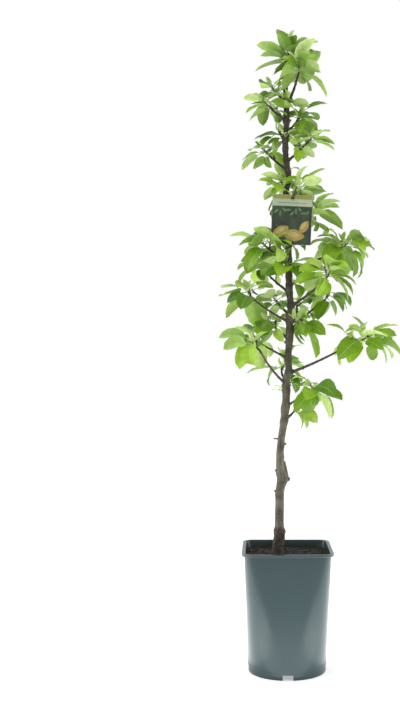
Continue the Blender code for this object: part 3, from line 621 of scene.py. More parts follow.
def addStick(bm, start, end, startRadius, endRadius, sides):
    way = end - start
    turn = way.to_track_quat("Z", "Y").to_matrix().to_4x4()
    place = Matrix.Translation((start + end) / 2) @ turn
    bmesh.ops.create_cone(bm, cap_ends=True, segments=sides, radius1=startRadius, radius2=endRadius,
                          depth=way.length, matrix=place)


def claim(bm, owner, part):
    centre = sum((vert.co for vert in bm.verts), Vector()) / len(bm.verts)
    reach = max((vert.co - centre).length for vert in bm.verts)
    tree = BVHTree.FromBMesh(bm)
    bm.free()
    return {"tree": tree, "centre": centre, "reach": reach, "who": (owner, part)}


def claimLimb(points, radii, owner, part, guard=leafRule["guard"]):
    bm = bmesh.new()
    for index in range(len(points) - 1):
        addStick(bm, points[index], points[index + 1], radii[index] + guard, radii[index + 1] + guard,
                 leafRule["limbSides"])
    return claim(bm, owner, part)


def touches(guard, taken, ignored):
    for other in taken:
        if other["who"] in ignored:
            continue
        near = (guard["centre"] - other["centre"]).length < guard["reach"] + other["reach"]
        if near and guard["tree"].overlap(other["tree"]):
            return True
    return False


label = {
    "width": 0.058, "height": 0.072, "thickness": 0.0006, "corner": 0.003, "holeRadius": 0.0030,
    "holeSides": 28, "holeDrop": 0.0056, "play": 0.0004, "tilt": 2.5, "bow": 1.1, "bowMiddle": 0.0002,
    "slices": 10, "ink": 0.00006, "margin": 0.0002, "band": 0.0062, "pale": 0.0165,
    "rule": (0.020, 0.0042, 0.0050),
    "goldenLeaves": (  # place above the card's foot, half length, half width and turn
        (-0.0150, 0.0185, 0.0130, 0.0078, 34), (0.0045, 0.0135, 0.0150, 0.0085, -6),
        (0.0185, 0.0265, 0.0100, 0.0058, 58),
    ),
    "smallLeaves": {
        "count": 9, "inset": 0.0065, "step": 0.0056, "drop": 0.0075, "wave": 0.0035, "waveStep": 1.9,
        "size": (0.0040, 0.0017), "turn": 40, "turnStep": 47,
    },
    "stock": {
        "tones": ((0.62, 0.63, 0.60), (0.74, 0.75, 0.72)), "roughness": 0.45, "scale": 60.0,
        "bumpScale": 800.0, "bump": 0.05, "bumpDepth": 0.0002,
    },
    "printLook": {
        "roughness": 0.38, "roughSpread": 0.03, "bumpScale": 260.0, "bump": 0.05, "bumpDepth": 0.0002,
        "plain": {"Coat Weight": 0.25, "Coat Roughness": 0.2},
    },
    "prints": {  # scale of the mottling, and its tones
        "olive print": (26.0, ((0.230, 0.240, 0.040), (0.330, 0.340, 0.080))),
        "pale print": (30.0, ((0.360, 0.410, 0.270), (0.520, 0.580, 0.440))),
        "green print": (110.0, ((0.008, 0.018, 0.009), (0.020, 0.045, 0.020), (0.050, 0.085, 0.035))),
        "golden print": (90.0, ((0.340, 0.215, 0.040), (0.500, 0.370, 0.090))),
        "golden light print": (90.0, ((0.500, 0.390, 0.110), (0.600, 0.490, 0.180))),
        "leaf print": (120.0, ((0.060, 0.130, 0.040), (0.140, 0.240, 0.080))),
    },
}


def labelPlace():
    rise, thick, thin = [boughs["label_spur"][index] for index in (2, 5, 6)]
    hang = boughLine("label_spur")[0][-2].copy()
    spurHalfHeight = (thick + thin) / 4 / math.cos(math.radians(rise))
    hang.z -= label["holeRadius"] - spurHalfHeight - label["play"] - gap
    upright = Matrix.Rotation(math.radians(90), 4, "X")
    tilt = Matrix.Rotation(math.radians(label["tilt"]), 4, "Y")
    return Matrix.Translation(hang) @ tilt @ upright


def claimLabel():
    bm = bmesh.new()
    guard = leafRule["guard"]
    place = labelPlace() @ Matrix.Translation((0, label["holeDrop"] - label["height"] / 2, 0))
    size = Matrix.Diagonal((
        label["width"] + 2 * guard, label["height"] + 2 * guard, label["thickness"] + 2 * guard, 1))
    bmesh.ops.create_cube(bm, size=1, matrix=place @ size)
    return claim(bm, "label", "card")


# the masses of leaves grow by the rule of the solids, with the same draws in the same order

massDefaults = {
    "shoots": 1, "shoot": 0.012, "leaves": 8, "blade": 0.036, "stalk": 0.013,
    "lift": 5, "spread": 60, "fan": 180, "fall": 55, "reach": 0.065, "first": 0, "guard": 0.0009, "roll": 40,
}
fill = {  # finer leaves within each mass: how many for each leaf of its own, their sizes, and what differs
    "share": 0.55, "backShare": 0.25, "blade": 0.80, "stalk": 0.8, "seed": 400,
    "rule": {"first": 3, "guard": 0.0003, "roll": 65},
    "more": {
        "top": {"leaves": 22, "blade": 0.040, "lift": 42, "spread": 100, "fall": 24},
        "fork": {"leaves": 12, "lift": 20, "spread": 90, "fall": 35},
        "left_heart": {"leaves": 12}, "right_shoulder": {"leaves": 12}, "front_shoulder": {"leaves": 9},
        "left_shoulder": {"leaves": 8}, "right_upper": {"leaves": 8}, "label_right": {"leaves": 7},
    },
}


masses = {  # where each stem starts, how it grows, and where its leaves differ
    "low_inner": dict(height=0.1931, stem=(20, 42, 0.027), shoots=0, leaves=3, stalk=0.008,
                     blade=0.026, lift=-10, aim=-20, fan=90),
    "low_right": dict(on="low_right", stem=(-10, 15, 0.015), leaves=10, blade=0.038, lift=-15, fall=60),
    "back_low": dict(on="back_low", stem=(90, 40, 0.015), leaves=8, fall=60),
    "left_low": dict(on="left_low", stem=(-165, 45, 0.014), leaves=8, aim=180, fan=130, fall=70),
    "right_long": dict(on="right_long", stem=(-5, 25, 0.034), shoots=2, leaves=15, blade=0.042,
                      stalk=0.018, lift=8, fall=62, reach=0.075),
    "left_mid": dict(on="left_mid", stem=(155, 35, 0.014), leaves=7, aim=165, fan=150, lift=15),
    "left_spur": dict(height=0.3122, stem=(160, 40, 0.04), leaves=9, blade=0.032, lift=0),
    "right_mid": dict(on="right_mid", stem=(20, 50, 0.012), leaves=7, blade=0.034, stalk=0.01, lift=-10),
    "right_spur": dict(height=0.3184, stem=(-50, 37, 0.033), leaves=9, blade=0.04, stalk=0.01,
                      lift=-20, fall=40),
    "back_mid": dict(on="back_mid", stem=(85, 45, 0.018), leaves=10),
    "left_upper": dict(on="left_upper", stem=(-170, 55, 0.01), leaves=8, blade=0.04, stalk=0.015,
                      lift=-5, aim=180, fan=140, fall=35),
    "left_inner": dict(height=0.348, stem=(150, 44, 0.034), shoots=0, leaves=5, blade=0.03,
                      stalk=0.01, lift=10),
    "right_upper": dict(on="right_upper", stem=(-25, 55, 0.014), leaves=11, blade=0.04, lift=-5),
    "left_shoulder": dict(on="left_shoulder", stem=(150, 40, 0.014), leaves=9, lift=-5),
    "front_mid": dict(height=0.39, stem=(-55, 20, 0.014), shoots=0, leaves=3, stalk=0.007,
                     blade=0.031, lift=-25, aim=-40, fan=70),
    "front_shoulder": dict(height=0.405, stem=(-105, 35, 0.026), leaves=9, stalk=0.01, lift=20),
    "right_shoulder": dict(on="right_shoulder", stem=(5, 30, 0.03), shoots=3, leaves=18, blade=0.044,
                          stalk=0.018, lift=0, fall=65, reach=0.07),
    "left_heart": dict(height=0.4223, stem=(-155, 33, 0.05), shoots=2, leaves=14, blade=0.044, lift=5,
                      spread=90, fall=50),
    "back_shoulder": dict(on="back_shoulder", stem=(100, 40, 0.02), shoots=2, leaves=12),
    "label_right": dict(height=0.4713, stem=(12, 38, 0.05), leaves=9, blade=0.038, stalk=0.015,
                       lift=15, fan=140, fall=45),
    "label_spur": dict(on="label_spur", stem=(-40, 65, 0.007), shoots=0, leaves=5, stalk=0.018,
                      blade=0.032, lift=25, aim=10, fan=80, fall=35),
    "back_heart": dict(height=0.5, stem=(65, 40, 0.045), shoots=2, leaves=11, lift=10),
    "front_high": dict(height=0.5236, stem=(-115, 40, 0.024), leaves=9, blade=0.028, stalk=0.007,
                      lift=20, fall=35),
    "left_high": dict(height=0.5574, stem=(170, 42, 0.05), leaves=9, blade=0.032, stalk=0.012, lift=5,
                     fall=45),
    "right_high": dict(height=0.571, stem=(-20, 39, 0.049), leaves=9, blade=0.032, stalk=0.008,
                      lift=10, fall=30),
    "back_high": dict(height=0.59, stem=(100, 45, 0.04), shoots=2, leaves=11, blade=0.032, lift=10, fall=40),
    "right_top": dict(height=0.6101, stem=(30, 53, 0.05), leaves=10, blade=0.032, stalk=0.009, lift=5,
                     fall=35),
    "left_top": dict(height=0.6292, stem=(-155, 34, 0.044), leaves=10, blade=0.028, stalk=0.009,
                    lift=5, fall=30),
    "front_top": dict(height=0.64, stem=(-80, 50, 0.02), shoots=0, leaves=5, blade=0.022, stalk=0.006,
                     lift=15, fall=30),
    "high_left": dict(height=0.6572, stem=(155, 47, 0.034), leaves=8, blade=0.027, stalk=0.01,
                     lift=10, fall=30),
    "fork": dict(on="fork", stem=(-20, 75, 0.012), leaves=10, blade=0.042, stalk=0.009, lift=15,
                spread=80, fall=40),
    "top": dict(on="trunk", stem=(150, 84, 0.01), leaves=14, blade=0.042, stalk=0.008, lift=40,
               spread=90, fall=25),
}


def bladeSpot(leaf, along, across, raised):
    start = leaf["root"] + leaf["heading"] * leaf["stalk"]
    fall = math.radians(leaf["fall"])
    bend = leafRule["bendPlace"]
    near = min(along, bend) * leaf["length"]
    far = max(along - bend, 0) * leaf["length"]
    bent = math.cos(fall) * leaf["heading"] - math.sin(fall) * leaf["normal"]
    halfWidth = leaf["width"] / 2
    lift = leafRule["bladeFold"] * abs(across) * halfWidth + raised
    spot = start + leaf["heading"] * near + bent * far
    return spot + leaf["side"] * across * halfWidth + leaf["normal"] * lift


def addGuardBlade(bm, leaf, extra):
    alongs = {-2: 0.0, -1: 0.22, 0: leafRule["bendPlace"], 1: 0.66, 2: 1.0}
    grown = extra / leaf["length"]
    ball = bmesh.ops.create_uvsphere(bm, u_segments=6, v_segments=2, radius=1)
    for vert in ball["verts"]:
        x, y, z = vert.co
        along = alongs[round(2 * y)] + grown * y
        across = math.copysign(1 + 2 * extra / leaf["width"], x) if abs(x) > 0.1 else 0
        raised = z * (leafRule["bladeThickness"] / 2 + extra)
        vert.co = bladeSpot(leaf, along, across, raised)


def massStart(mass):
    if "height" in mass:
        return [trunkCentre(mass["height"])]
    points = trunkLine()[0] if mass["on"] == "trunk" else boughLine(mass["on"])[0]
    heading = (points[-1] - points[-2]).normalized()
    start = points[-1] + heading * gap
    return [start, start + heading * leafRule["lead"]]


def growTwigs(name, mass, rng, taken):
    rule = leafRule
    first = massStart(mass)
    azimuth, rise, length = mass["stem"]
    stem = first[:-1] + grow(first[-1], azimuth, rise, length, rule["stemTurn"], rule["stemStep"])
    twigs = [stem]
    count = mass["shoots"]
    for shoot in range(count):
        place = (shoot + 1) / (count + 1)
        spot = stem[0].lerp(stem[-1], rule["shootStart"] + rule["shootSpan"] * place)
        spot = stem[round(place * (len(stem) - 1))] if "height" in mass else spot
        for attempt in range(rule["tries"]):
            turn = (90 if shoot % 2 else -90) + rng.uniform(-rule["shootStray"], rule["shootStray"])
            way = direction(azimuth + turn + rule["shootTurn"] * attempt,
                            rise + rng.uniform(-rule["shootRise"], rule["shootRise"]))
            tip = spot + way * mass["shoot"] * rng.uniform(*rule["shootSize"])
            heading = (tip - spot).normalized()
            radii = [rule["shootRadius"]] * 2
            guard = claimLimb([spot + heading * rule["lead"], tip], radii, name, "twig")
            if not touches(guard, taken, {(name, "twig")}):
                twigs.append([spot, tip])
                break
    return twigs


def rosetteLeaf(mass, tip, heading, place, count, attempt, rng):
    rule = leafRule
    share = place / max(count - 1, 1)
    loosen = 1 + rule["loosen"] * attempt
    step = place + mass["first"]
    around = (goldenAngle * step + rng.uniform(-rule["around"], rule["around"]) * loosen) % 360 - 180
    azimuth = mass["aim"] + around * mass["fan"] / 180
    rise = mass["lift"] + mass["spread"] * (0.5 - share) + rng.uniform(-rule["rise"], rule["rise"]) * loosen
    size = rule["innerSize"] + rule["outerSize"] * min(1, 3 * share)
    size *= rng.uniform(*rule["size"]) * rule["shrink"]**attempt
    way = direction(azimuth, rise)
    level = Vector((-math.sin(math.radians(azimuth)), math.cos(math.radians(azimuth)), 0))
    upright = way.cross(level)
    roll = math.radians(rng.uniform(-mass["roll"], mass["roll"]))
    side = level * math.cos(roll) + upright * math.sin(roll)
    normal = upright * math.cos(roll) - level * math.sin(roll)
    length = mass["blade"] * size
    return {
        "root": tip - heading * (rule["rootDepth"] + rule["rootStep"] * step), "heading": way, "side": side,
        "normal": normal, "stalk": mass["stalk"] * rng.uniform(*rule["stalk"]), "length": length,
        "width": length * rule["bladeWidth"] * rng.uniform(*rule["width"]),
        "fall": mass["fall"] * rng.uniform(*rule["fall"]), "age": share,
    }


def hidesTrunk(corner):
    height = corner.z - soil["level"] - gap
    if not any(low < height < high for low, high in leafRule["bareFaces"]):
        return False
    stem = trunkCentre(height)
    return corner.y < stem.y and abs(corner.x - stem.x) < leafRule["bareHalfWidth"]


def leafFits(leaf, name, mass, hub, taken):
    bm = bmesh.new()
    addGuardBlade(bm, leaf, mass["guard"])
    corners = [vert.co.copy() for vert in bm.verts]
    if any((corner - hub).length > mass["reach"] or hidesTrunk(corner) for corner in corners):
        bm.free()
        return None
    blade = claim(bm, name, "blade")
    if touches(blade, taken, set()):
        return None
    start = leaf["root"] + leaf["heading"] * min(leafRule["stalkGap"], leaf["stalk"] / 2)
    end = leaf["root"] + leaf["heading"] * leaf["stalk"]
    radius = leafRule["stalkRadius"]
    stalk = claimLimb([start, end], [radius, radius], name, "stalk", mass["guard"])
    if touches(stalk, taken, {(name, "twig"), (name, "stalk")}):
        return None
    return blade, stalk


def growLeaves(name, mass, twigs, rng, taken):
    hub = sum((twig[-1] for twig in twigs), Vector()) / len(twigs)
    leaves = []
    for number, twig in enumerate(twigs):
        count = len(range(number, mass["leaves"], len(twigs)))
        heading = (twig[-1] - twig[-2]).normalized()
        for place in range(count):
            for attempt in range(leafRule["tries"]):
                leaf = rosetteLeaf(mass, twig[-1], heading, place, count, attempt, rng)
                guards = leafFits(leaf, name, mass, hub, taken)
                if guards:
                    leaves.append(leaf | {"twigHeading": heading})
                    taken.extend(guards)
                    break
    return leaves


def growMasses():
    taken = [claimLimb(*trunkLine(), "trunk", "limb"), claimLabel()]
    for name in boughs:
        taken.append(claimLimb(*boughLine(name), name, "bough"))
    grown = []
    for number, (name, settings) in enumerate(masses.items()):
        mass = massDefaults | {"aim": settings["stem"][0], "seed": number} | settings
        twigs = growTwigs(name, mass, random.Random(number), taken)
        for twig in twigs:
            taken.append(claimLimb(twig, [leafRule["stemRadius"]] * len(twig), name, "twig"))
        grown.append({"name": name, "mass": mass, "twigs": twigs})
    for item in grown:
        rng = random.Random(item["mass"]["seed"])
        item["leaves"] = growLeaves(item["name"], item["mass"], item["twigs"], rng, taken)
    for number, item in enumerate(grown):
        mass = item["mass"]
        share = fill["backShare" if item["name"].startswith("back") else "share"]
        finer = mass | fill["rule"] | {
            "leaves": round(mass["leaves"] * share), "blade": mass["blade"] * fill["blade"],
            "stalk": mass["stalk"] * fill["stalk"]} | fill["more"].get(item["name"], {})
        rng = random.Random(fill["seed"] + number)
        item["leaves"] += growLeaves(item["name"], finer, item["twigs"], rng, taken)
    return grown


# wood

def barkNoise(angle, height, pattern, shift=0):
    # noise on the trunk, by how fast it changes round it and upwards
    around, upwards = pattern
    return noise.noise(Vector((around * math.cos(angle), around * math.sin(angle), upwards * height + shift)))


def trunkSkin(height, angle):
    # the bark's surface: slow waves, fine grain, swellings at limbs and knobs, and a rough rootstock
    shown = max(height, 0)
    radius = trunkRadius(shown)
    radius *= 1 + trunk["waviness"] * barkNoise(angle, height, trunk["wavePattern"])
    radius += trunk["grain"] * barkNoise(angle, height, trunk["grainPattern"])
    if height < trunk["rootstockTop"]:
        crust = barkNoise(angle, height, trunk["rootstockPattern"], trunk["rootstockShift"])
        radius += trunk["rootstockGrain"] * crust
    for knobHeight, azimuth, size, reach in trunk["knobs"]:
        facing = max(0, math.cos(angle - math.radians(azimuth)))
        radius += swell(height, knobHeight, size, reach) * facing**3
    centre = trunkCentre(shown)
    out = direction(math.degrees(angle), 0) * radius
    return Vector((centre.x + out.x, centre.y + out.y, soil["level"] + gap + height))


def makeTrunk():
    bm = bmesh.new()
    top = trunk["stations"][-1][0]
    verts, _ = addCopy(bm, tubeTemplate(trunk["rings"], trunk["sides"]))
    for vert in verts:
        height = -trunk["sunk"] + (top + trunk["sunk"]) * vert.co.z
        vert.co = trunkSkin(height, math.atan2(vert.co.y, vert.co.x))
    for index, (height, azimuth, offset, rise, length, radius) in enumerate(trunk["stubs"]):
        start = trunkCentre(height) + direction(azimuth, 0) * offset
        way = direction(azimuth, rise)
        points = [start + way * away for away in spaced(trunk["stubRings"], 0, length)]
        radii = [radius * share for share in spaced(trunk["stubRings"], *trunk["stubTaper"])]

        def knobbly(ring, x, y, index=index):
            return 1 + trunk["stubRough"] * noise.noise(Vector((2 * x + index, 2 * y, 0.9 * ring)))

        faces = addTube(bm, points, radii, trunk["stubSides"], knobbly)
        cutEnd = max(faces, key=lambda face: face.calc_center_median().dot(way))
        cutEnd.material_index = 1
        inset = trunk["cutInset"] * radius
        rim = bmesh.ops.inset_region(bm, faces=[cutEnd], thickness=inset, depth=-trunk["cutDepth"])
        for face in rim["faces"]:
            face.material_index = 0
    bark = barkMaterial("trunk bark", barkLook["low"], barkLook["high"])
    addPiece("trunkBark", bm, [bark, mottled("healed cut", trunk["cutWood"])], ["trunk"], 50)


def limbRelief(rng, knuckles):
    shift = rng.uniform(0, 50)

    def relief(ring, x, y):
        around, along = boughLook["roughPattern"]
        rough = noise.noise(Vector((around * x + shift, around * y, along * ring)))
        return 1 + boughLook["rough"] * rough + knuckles[ring]

    return relief


def makeBoughs(buds):
    look = boughLook
    bm = bmesh.new()
    rng = random.Random(look["seed"])
    for name in boughs:
        points, radii = boughLine(name)
        line = smoothLine(points, look["cuts"])
        inside = trunkRadius(boughs[name][0])
        travelled = 0.0
        knuckles = []
        for index, point in enumerate(line):
            travelled += (point - line[index - 1]).length if index else 0
            collar = look["collar"] * math.exp(-max(travelled - inside, 0) / look["collarReach"])
            isKnuckle = index % look["cuts"] == 0 and travelled > inside + look["firstKnuckle"]
            knuckles.append(collar + (look["knuckle"] if isKnuckle else 0))
        addTube(bm, line, spaced(len(line), radii[0], radii[-1]), look["sides"], limbRelief(rng, knuckles))
        for index in range(2, len(points) - 1):
            heading = (points[index + 1] - points[index]).normalized()
            aside = heading.cross(Vector((0, 0, 1))).normalized() * (-1) ** index
            lean = (aside + Vector((0, 0, rng.uniform(*look["budRise"])))).normalized()
            spot = points[index] + lean * radii[index] * look["budOut"]
            way = (heading * look["budForward"] + lean).normalized()
            buds.append({"spot": spot, "way": way, "length": rng.uniform(*look["bud"])})
    bark = barkMaterial("bough bark", barkLook["high"], barkLook["high"])
    addPiece("boughBark", bm, [bark], ["bough_" + name for name in boughs], 50)


twigLook = {
    "first": 0.00165, "other": 0.0013, "tip": 0.00125, "sides": 9, "cuts": 4, "shootRings": 6, "sunk": 0.002,
    "knuckle": 0.22, "tipKnuckles": (0.30, 0.10), "collar": 0.8, "collarReach": 0.003, "seed": 31,
    "bud": 0.0048, "budSunk": 0.001,
}


def makeTwigs(grown, buds):
    look = twigLook
    bm = bmesh.new()
    rng = random.Random(look["seed"])
    for item in grown:
        for number, twig in enumerate(item["twigs"]):
            if len(twig) > 2:
                line = smoothLine(twig, look["cuts"])
            else:
                line = [twig[0].lerp(twig[1], share) for share in spaced(look["shootRings"], 0, 1)]
            if number == 0 and "on" in item["mass"]:
                line = [line[0] - (line[1] - line[0]).normalized() * look["sunk"]] + line
            radii = spaced(len(line), look["other" if number else "first"], look["tip"])
            knuckles = [look["knuckle"] if index % 3 == 1 else 0 for index in range(len(line))]
            knuckles[-2:] = look["tipKnuckles"]
            if number == 0 and "height" in item["mass"]:
                inside = trunkRadius(item["mass"]["height"])
                for index, point in enumerate(line):
                    outside = max((point - line[0]).length - inside, 0)
                    knuckles[index] += look["collar"] * math.exp(-outside / look["collarReach"])
            addTube(bm, line, radii, look["sides"], limbRelief(rng, knuckles))
            heading = (line[-1] - line[-2]).normalized()
            buds.append({"spot": line[-1] - heading * look["budSunk"], "way": heading, "length": look["bud"]})
    bark = barkMaterial("twig bark", barkLook["high"], barkLook["high"])
    addPiece("spurTwigs", bm, [bark], [], 50)


budLook = {
    "sides": 7, "rings": 6, "width": 0.62, "foot": 1.25, "tip": 0.50, "heights": (0.235, 0.70),
    "spacing": (0.018, 0.027), "length": (0.0032, 0.0050), "rise": 1.1, "out": 0.92, "seed": 8,
    "scales": {
        "tones": ((0.050, 0.026, 0.018), (0.120, 0.070, 0.045), (0.200, 0.140, 0.090)), "roughness": 0.6,
        "scale": 700.0, "bumpScale": 1500.0, "bump": 0.6, "bumpDepth": 0.0004,
    },
}


def trunkBuds(buds):
    # buds that wind up the trunk by the golden angle
    rng = random.Random(budLook["seed"])
    height, top = budLook["heights"]
    turn = 0.0
    while height < top:
        turn += goldenAngle
        out = direction(turn, 0)
        way = (out + Vector((0, 0, budLook["rise"]))).normalized()
        spot = trunkCentre(height) + out * trunkRadius(height) * budLook["out"]
        buds.append({"spot": spot, "way": way, "length": rng.uniform(*budLook["length"])})
        height += rng.uniform(*budLook["spacing"])


@cache
def budTemplate():
    # a pointed bud along Z, one long
    bm = bmesh.new()
    bmesh.ops.create_uvsphere(bm, u_segments=budLook["sides"], v_segments=budLook["rings"], radius=0.5)
    for vert in bm.verts:
        along = vert.co.z + 0.5
        width = budLook["width"] * (budLook["foot"] + (budLook["tip"] - budLook["foot"]) * along)
        vert.co = (vert.co.x * width, vert.co.y * width, along)
    return newMesh("bud template", bm)


def makeBuds(buds):
    bm = bmesh.new()
    for bud in buds:
        turn = bud["way"].to_track_quat("Z", "Y")
        verts, _ = addCopy(bm, budTemplate())
        for vert in verts:
            vert.co = bud["spot"] + turn @ (vert.co * bud["length"])
    addPiece("buds", bm, [mottled("bud scales", budLook["scales"])], [], 60)


# leaves

leafLook = {
    "rows": (0.0, 0.07, 0.22, 0.42, 0.64, 0.83, 1.0), "columns": (-1.0, -0.52, -0.055, 0.055, 0.52, 1.0),
    "outline": (0.40, 0.66), "broad": 1.12, "thickness": 0.00045, "arch": 1.1, "fold": 0.26,
    "foldPower": 1.4, "wave": 0.018, "waves": 9, "twist": 10, "young": 0.2, "youngShare": 0.5, "seed": 11,
    "cloudScale": 120.0, "cloudPlaces": (0.35, 0.65), "darker": 0.80, "specular": 0.26, "veins": 9.0,
    "veinSlant": -3.4, "veinEdge": (0.02, 0.13), "bump": 0.45, "bumpDepth": 0.0004,
    "upper": (0.42, 0.35), "under": (0.58, 0.30),  # roughness, and how much the veins show
    "ribTone": (0.60, 0.70, 0.30), "ribShare": 0.28, "ribDarker": 0.85,
    "rib": {"roughness": 0.5, "scale": 200.0, "bumpScale": 900.0, "bump": 0.2, "bumpDepth": 0.0002},
    "tints": {  # upper side, underside; deep and cool are painted shade, bright is painted light, and light is painted highlight as well as the real paleness of young leaves
        # the underside tones are paler partly as the real pale underside and partly as painted light shining
        # through the blade
        "fresh": ((0.185, 0.370, 0.012), (0.320, 0.500, 0.100)),
        "deep": ((0.060, 0.175, 0.003), (0.210, 0.370, 0.060)),
        "bright": ((0.310, 0.540, 0.022), (0.420, 0.600, 0.150)),
        "light": ((0.470, 0.680, 0.100), (0.560, 0.720, 0.270)),
        "cool": ((0.115, 0.270, 0.014), (0.300, 0.470, 0.140)),
        "young": ((0.540, 0.730, 0.150), (0.600, 0.760, 0.290)),
    },
    "sprays": {  # which tints a spray deals from: sun is painted sunlight, shade is painted shade for the masses at the back, and mixed deals both
        "sun": ("bright", "fresh", "light", "bright", "fresh"),
        "shade": ("deep", "cool", "fresh", "deep", "fresh"),
        "mixed": ("fresh", "bright", "deep", "fresh", "light", "cool"),
    },
    "youngTints": ("young", "light", "young"),
}


def leafMaterial(name, blade, vein, roughness, veinShare):
    # side veins run out and forwards from the midrib, and the blade is lightly puckered between them
    look = leafLook
    material, tree, shader = newMaterial(name, blade, roughness, {"Specular IOR Level": look["specular"]})
    spot = addNode(tree, "SeparateXYZ", {"Vector": addNode(tree, "UVMap", uv_map="leaf").outputs["UV"]})
    across = maths(tree, "ABSOLUTE", maths(tree, "SUBTRACT", spot.outputs["X"], 0.5))
    rows = maths(tree, "MULTIPLY", spot.outputs["Y"], look["veins"])
    slanted = maths(tree, "ADD", rows, maths(tree, "MULTIPLY", across, look["veinSlant"]))
    isVein = ranged(tree, maths(tree, "PINGPONG", slanted, 0.5), look["veinEdge"], (1.0, 0.0))
    cloud = cloudy(tree, objectPlace(tree), look["cloudScale"], 3.0)
    tone = colourRamp(tree, cloud, look["cloudPlaces"], ([look["darker"] * part for part in blade], blade))
    mixed = blended(tree, maths(tree, "MULTIPLY", isVein, veinShare), tone, (*vein, 1))
    tree.links.new(mixed, shader.inputs["Base Color"])
    roughen(tree, shader, maths(tree, "SUBTRACT", cloud, isVein), look["bump"], look["bumpDepth"])
    return material


def leafMaterials():
    # upper side, midrib and underside for each tint
    made = []
    share = leafLook["ribShare"]
    for name, (upper, under) in leafLook["tints"].items():
        rib = tuple((1 - share) * a + share * b for a, b in zip(upper, leafLook["ribTone"]))
        tones = (tuple(leafLook["ribDarker"] * part for part in rib), rib)
        made.append(leafMaterial("leaf " + name, upper, rib, *leafLook["upper"]))
        made.append(mottled("midrib " + name, leafLook["rib"] | {"tones": tones}))
        made.append(leafMaterial("underside " + name, under, rib, *leafLook["under"]))
    return made


@cache
def leafTemplate():
    # a flat blade: X across from -1 to 1, Y along from 0 to 1, Z 1 on top, -1 under and 0 at the margin
    rows, columns = leafLook["rows"], leafLook["columns"]
    bm = bmesh.new()
    bmesh.ops.create_grid(bm, x_segments=len(columns) - 1, y_segments=len(rows) - 1, size=1)
    reach = max(vert.co.x for vert in bm.verts)
    for vert in bm.verts:
        column = round((vert.co.x / reach + 1) / 2 * (len(columns) - 1))
        row = round((vert.co.y / reach + 1) / 2 * (len(rows) - 1))
        vert.co = (columns[column], rows[row], 1)
    rib = columns[len(columns) // 2]
    for face in bm.faces:
        face.material_index = 1 if abs(face.calc_center_median().x) < rib else 0
    copied = bmesh.ops.duplicate(bm, geom=bm.verts[:] + bm.edges[:] + bm.faces[:])["geom"]
    under = [item for item in copied if isinstance(item, bmesh.types.BMFace)]
    bmesh.ops.reverse_faces(bm, faces=under)
    for face in under:
        face.material_index = 1 if face.material_index else 2
    for item in copied:
        if isinstance(item, bmesh.types.BMVert):
            item.co.z = -1
    for vert in bm.verts:
        atEnd = vert.co.y in (0, 1)
        if atEnd or abs(vert.co.x) == 1:
            vert.co.z = 0
        if atEnd:
            vert.co.x = 0
    bmesh.ops.remove_doubles(bm, verts=bm.verts, dist=0.0001)
    return newMesh("leaf template", bm)


def leafOutline(along):
    # half width as a share of the widest: rounded at the base, widest below the middle, drawn out to the tip
    fromBase, toTip = leafLook["outline"]
    middle = fromBase / (fromBase + toTip)
    return (along / middle) ** fromBase * (max(1 - along, 0) / (1 - middle)) ** toTip


def addLeaf(bm, leaf, tint, rng):
    uv = bm.loops.layers.uv["leaf"]
    verts, faces = addCopy(bm, leafTemplate())
    for face in faces:
        face.material_index += 3 * tint
        for loop in face.loops:
            loop[uv].uv = ((loop.vert.co.x + 1) / 2, loop.vert.co.y)
    start = leaf["root"] + leaf["heading"] * leaf["stalk"]
    arch = max(math.radians(leaf["fall"]) * leafLook["arch"], 0.02)
    phase = rng.uniform(0, math.tau)
    twist = math.radians(rng.uniform(-leafLook["twist"], leafLook["twist"]))
    for vert in verts:
        across, along, face = vert.co
        bend = arch * along
        out = leaf["length"] * math.sin(bend) / arch
        down = leaf["length"] * (1 - math.cos(bend)) / arch
        normal = math.cos(bend) * leaf["normal"] + math.sin(bend) * leaf["heading"]
        side = leaf["side"] * math.cos(twist * along) + normal * math.sin(twist * along)
        halfWidth = leafLook["broad"] * leaf["width"] / 2 * leafOutline(along)
        ripple = math.sin(leafLook["waves"] * along + phase + across)
        lift = leafLook["fold"] * abs(across) ** leafLook["foldPower"] * halfWidth
        lift += leafLook["wave"] * leaf["length"] * across * abs(across) * ripple
        lift += face * leafLook["thickness"] / 2
        spot = start + leaf["heading"] * out - leaf["normal"] * down
        vert.co = spot - side * across * halfWidth + normal * lift


stalkLook = {
    "radii": (0.00075, 0.00048), "sides": 5, "rings": 6, "foot": 1.5, "knee": 0.10, "raise": 0.06,
    "under": 0.04, "sunk": 0.0002,
    "green": {
        "tones": ((0.210, 0.330, 0.080), (0.360, 0.480, 0.170), (0.430, 0.520, 0.230)), "roughness": 0.5,
        "scale": 120.0, "bumpScale": 900.0, "bump": 0.15, "bumpDepth": 0.0002,
    },
}


def addStalk(bm, leaf):
    # a stalk that leaves its twig more upright, leans out to the blade and runs a little way under it
    look = stalkLook
    start, end = leaf["root"], leaf["root"] + leaf["heading"] * leaf["stalk"]
    knee = leaf["twigHeading"] * look["knee"] + Vector((0, 0, look["raise"]))
    knee = start.lerp(end, 0.5) + knee * leaf["stalk"]
    points = []
    for t in spaced(look["rings"], 0, 1):
        points.append(start * (1 - t) ** 2 + knee * 2 * t * (1 - t) + end * t * t)
    points[-1] = end + leaf["heading"] * look["under"] * leaf["length"] - leaf["normal"] * look["sunk"]
    radii = spaced(look["rings"], *look["radii"])
    radii[0] *= look["foot"]
    addTube(bm, points, radii, look["sides"])


youngLook = {
    "counts": (2, 2, 3), "stray": 0.5, "upwards": 0.4, "length": (0.009, 0.017), "narrow": 0.42,
    "fall": (5, 40), "stalk": 0.004,
}


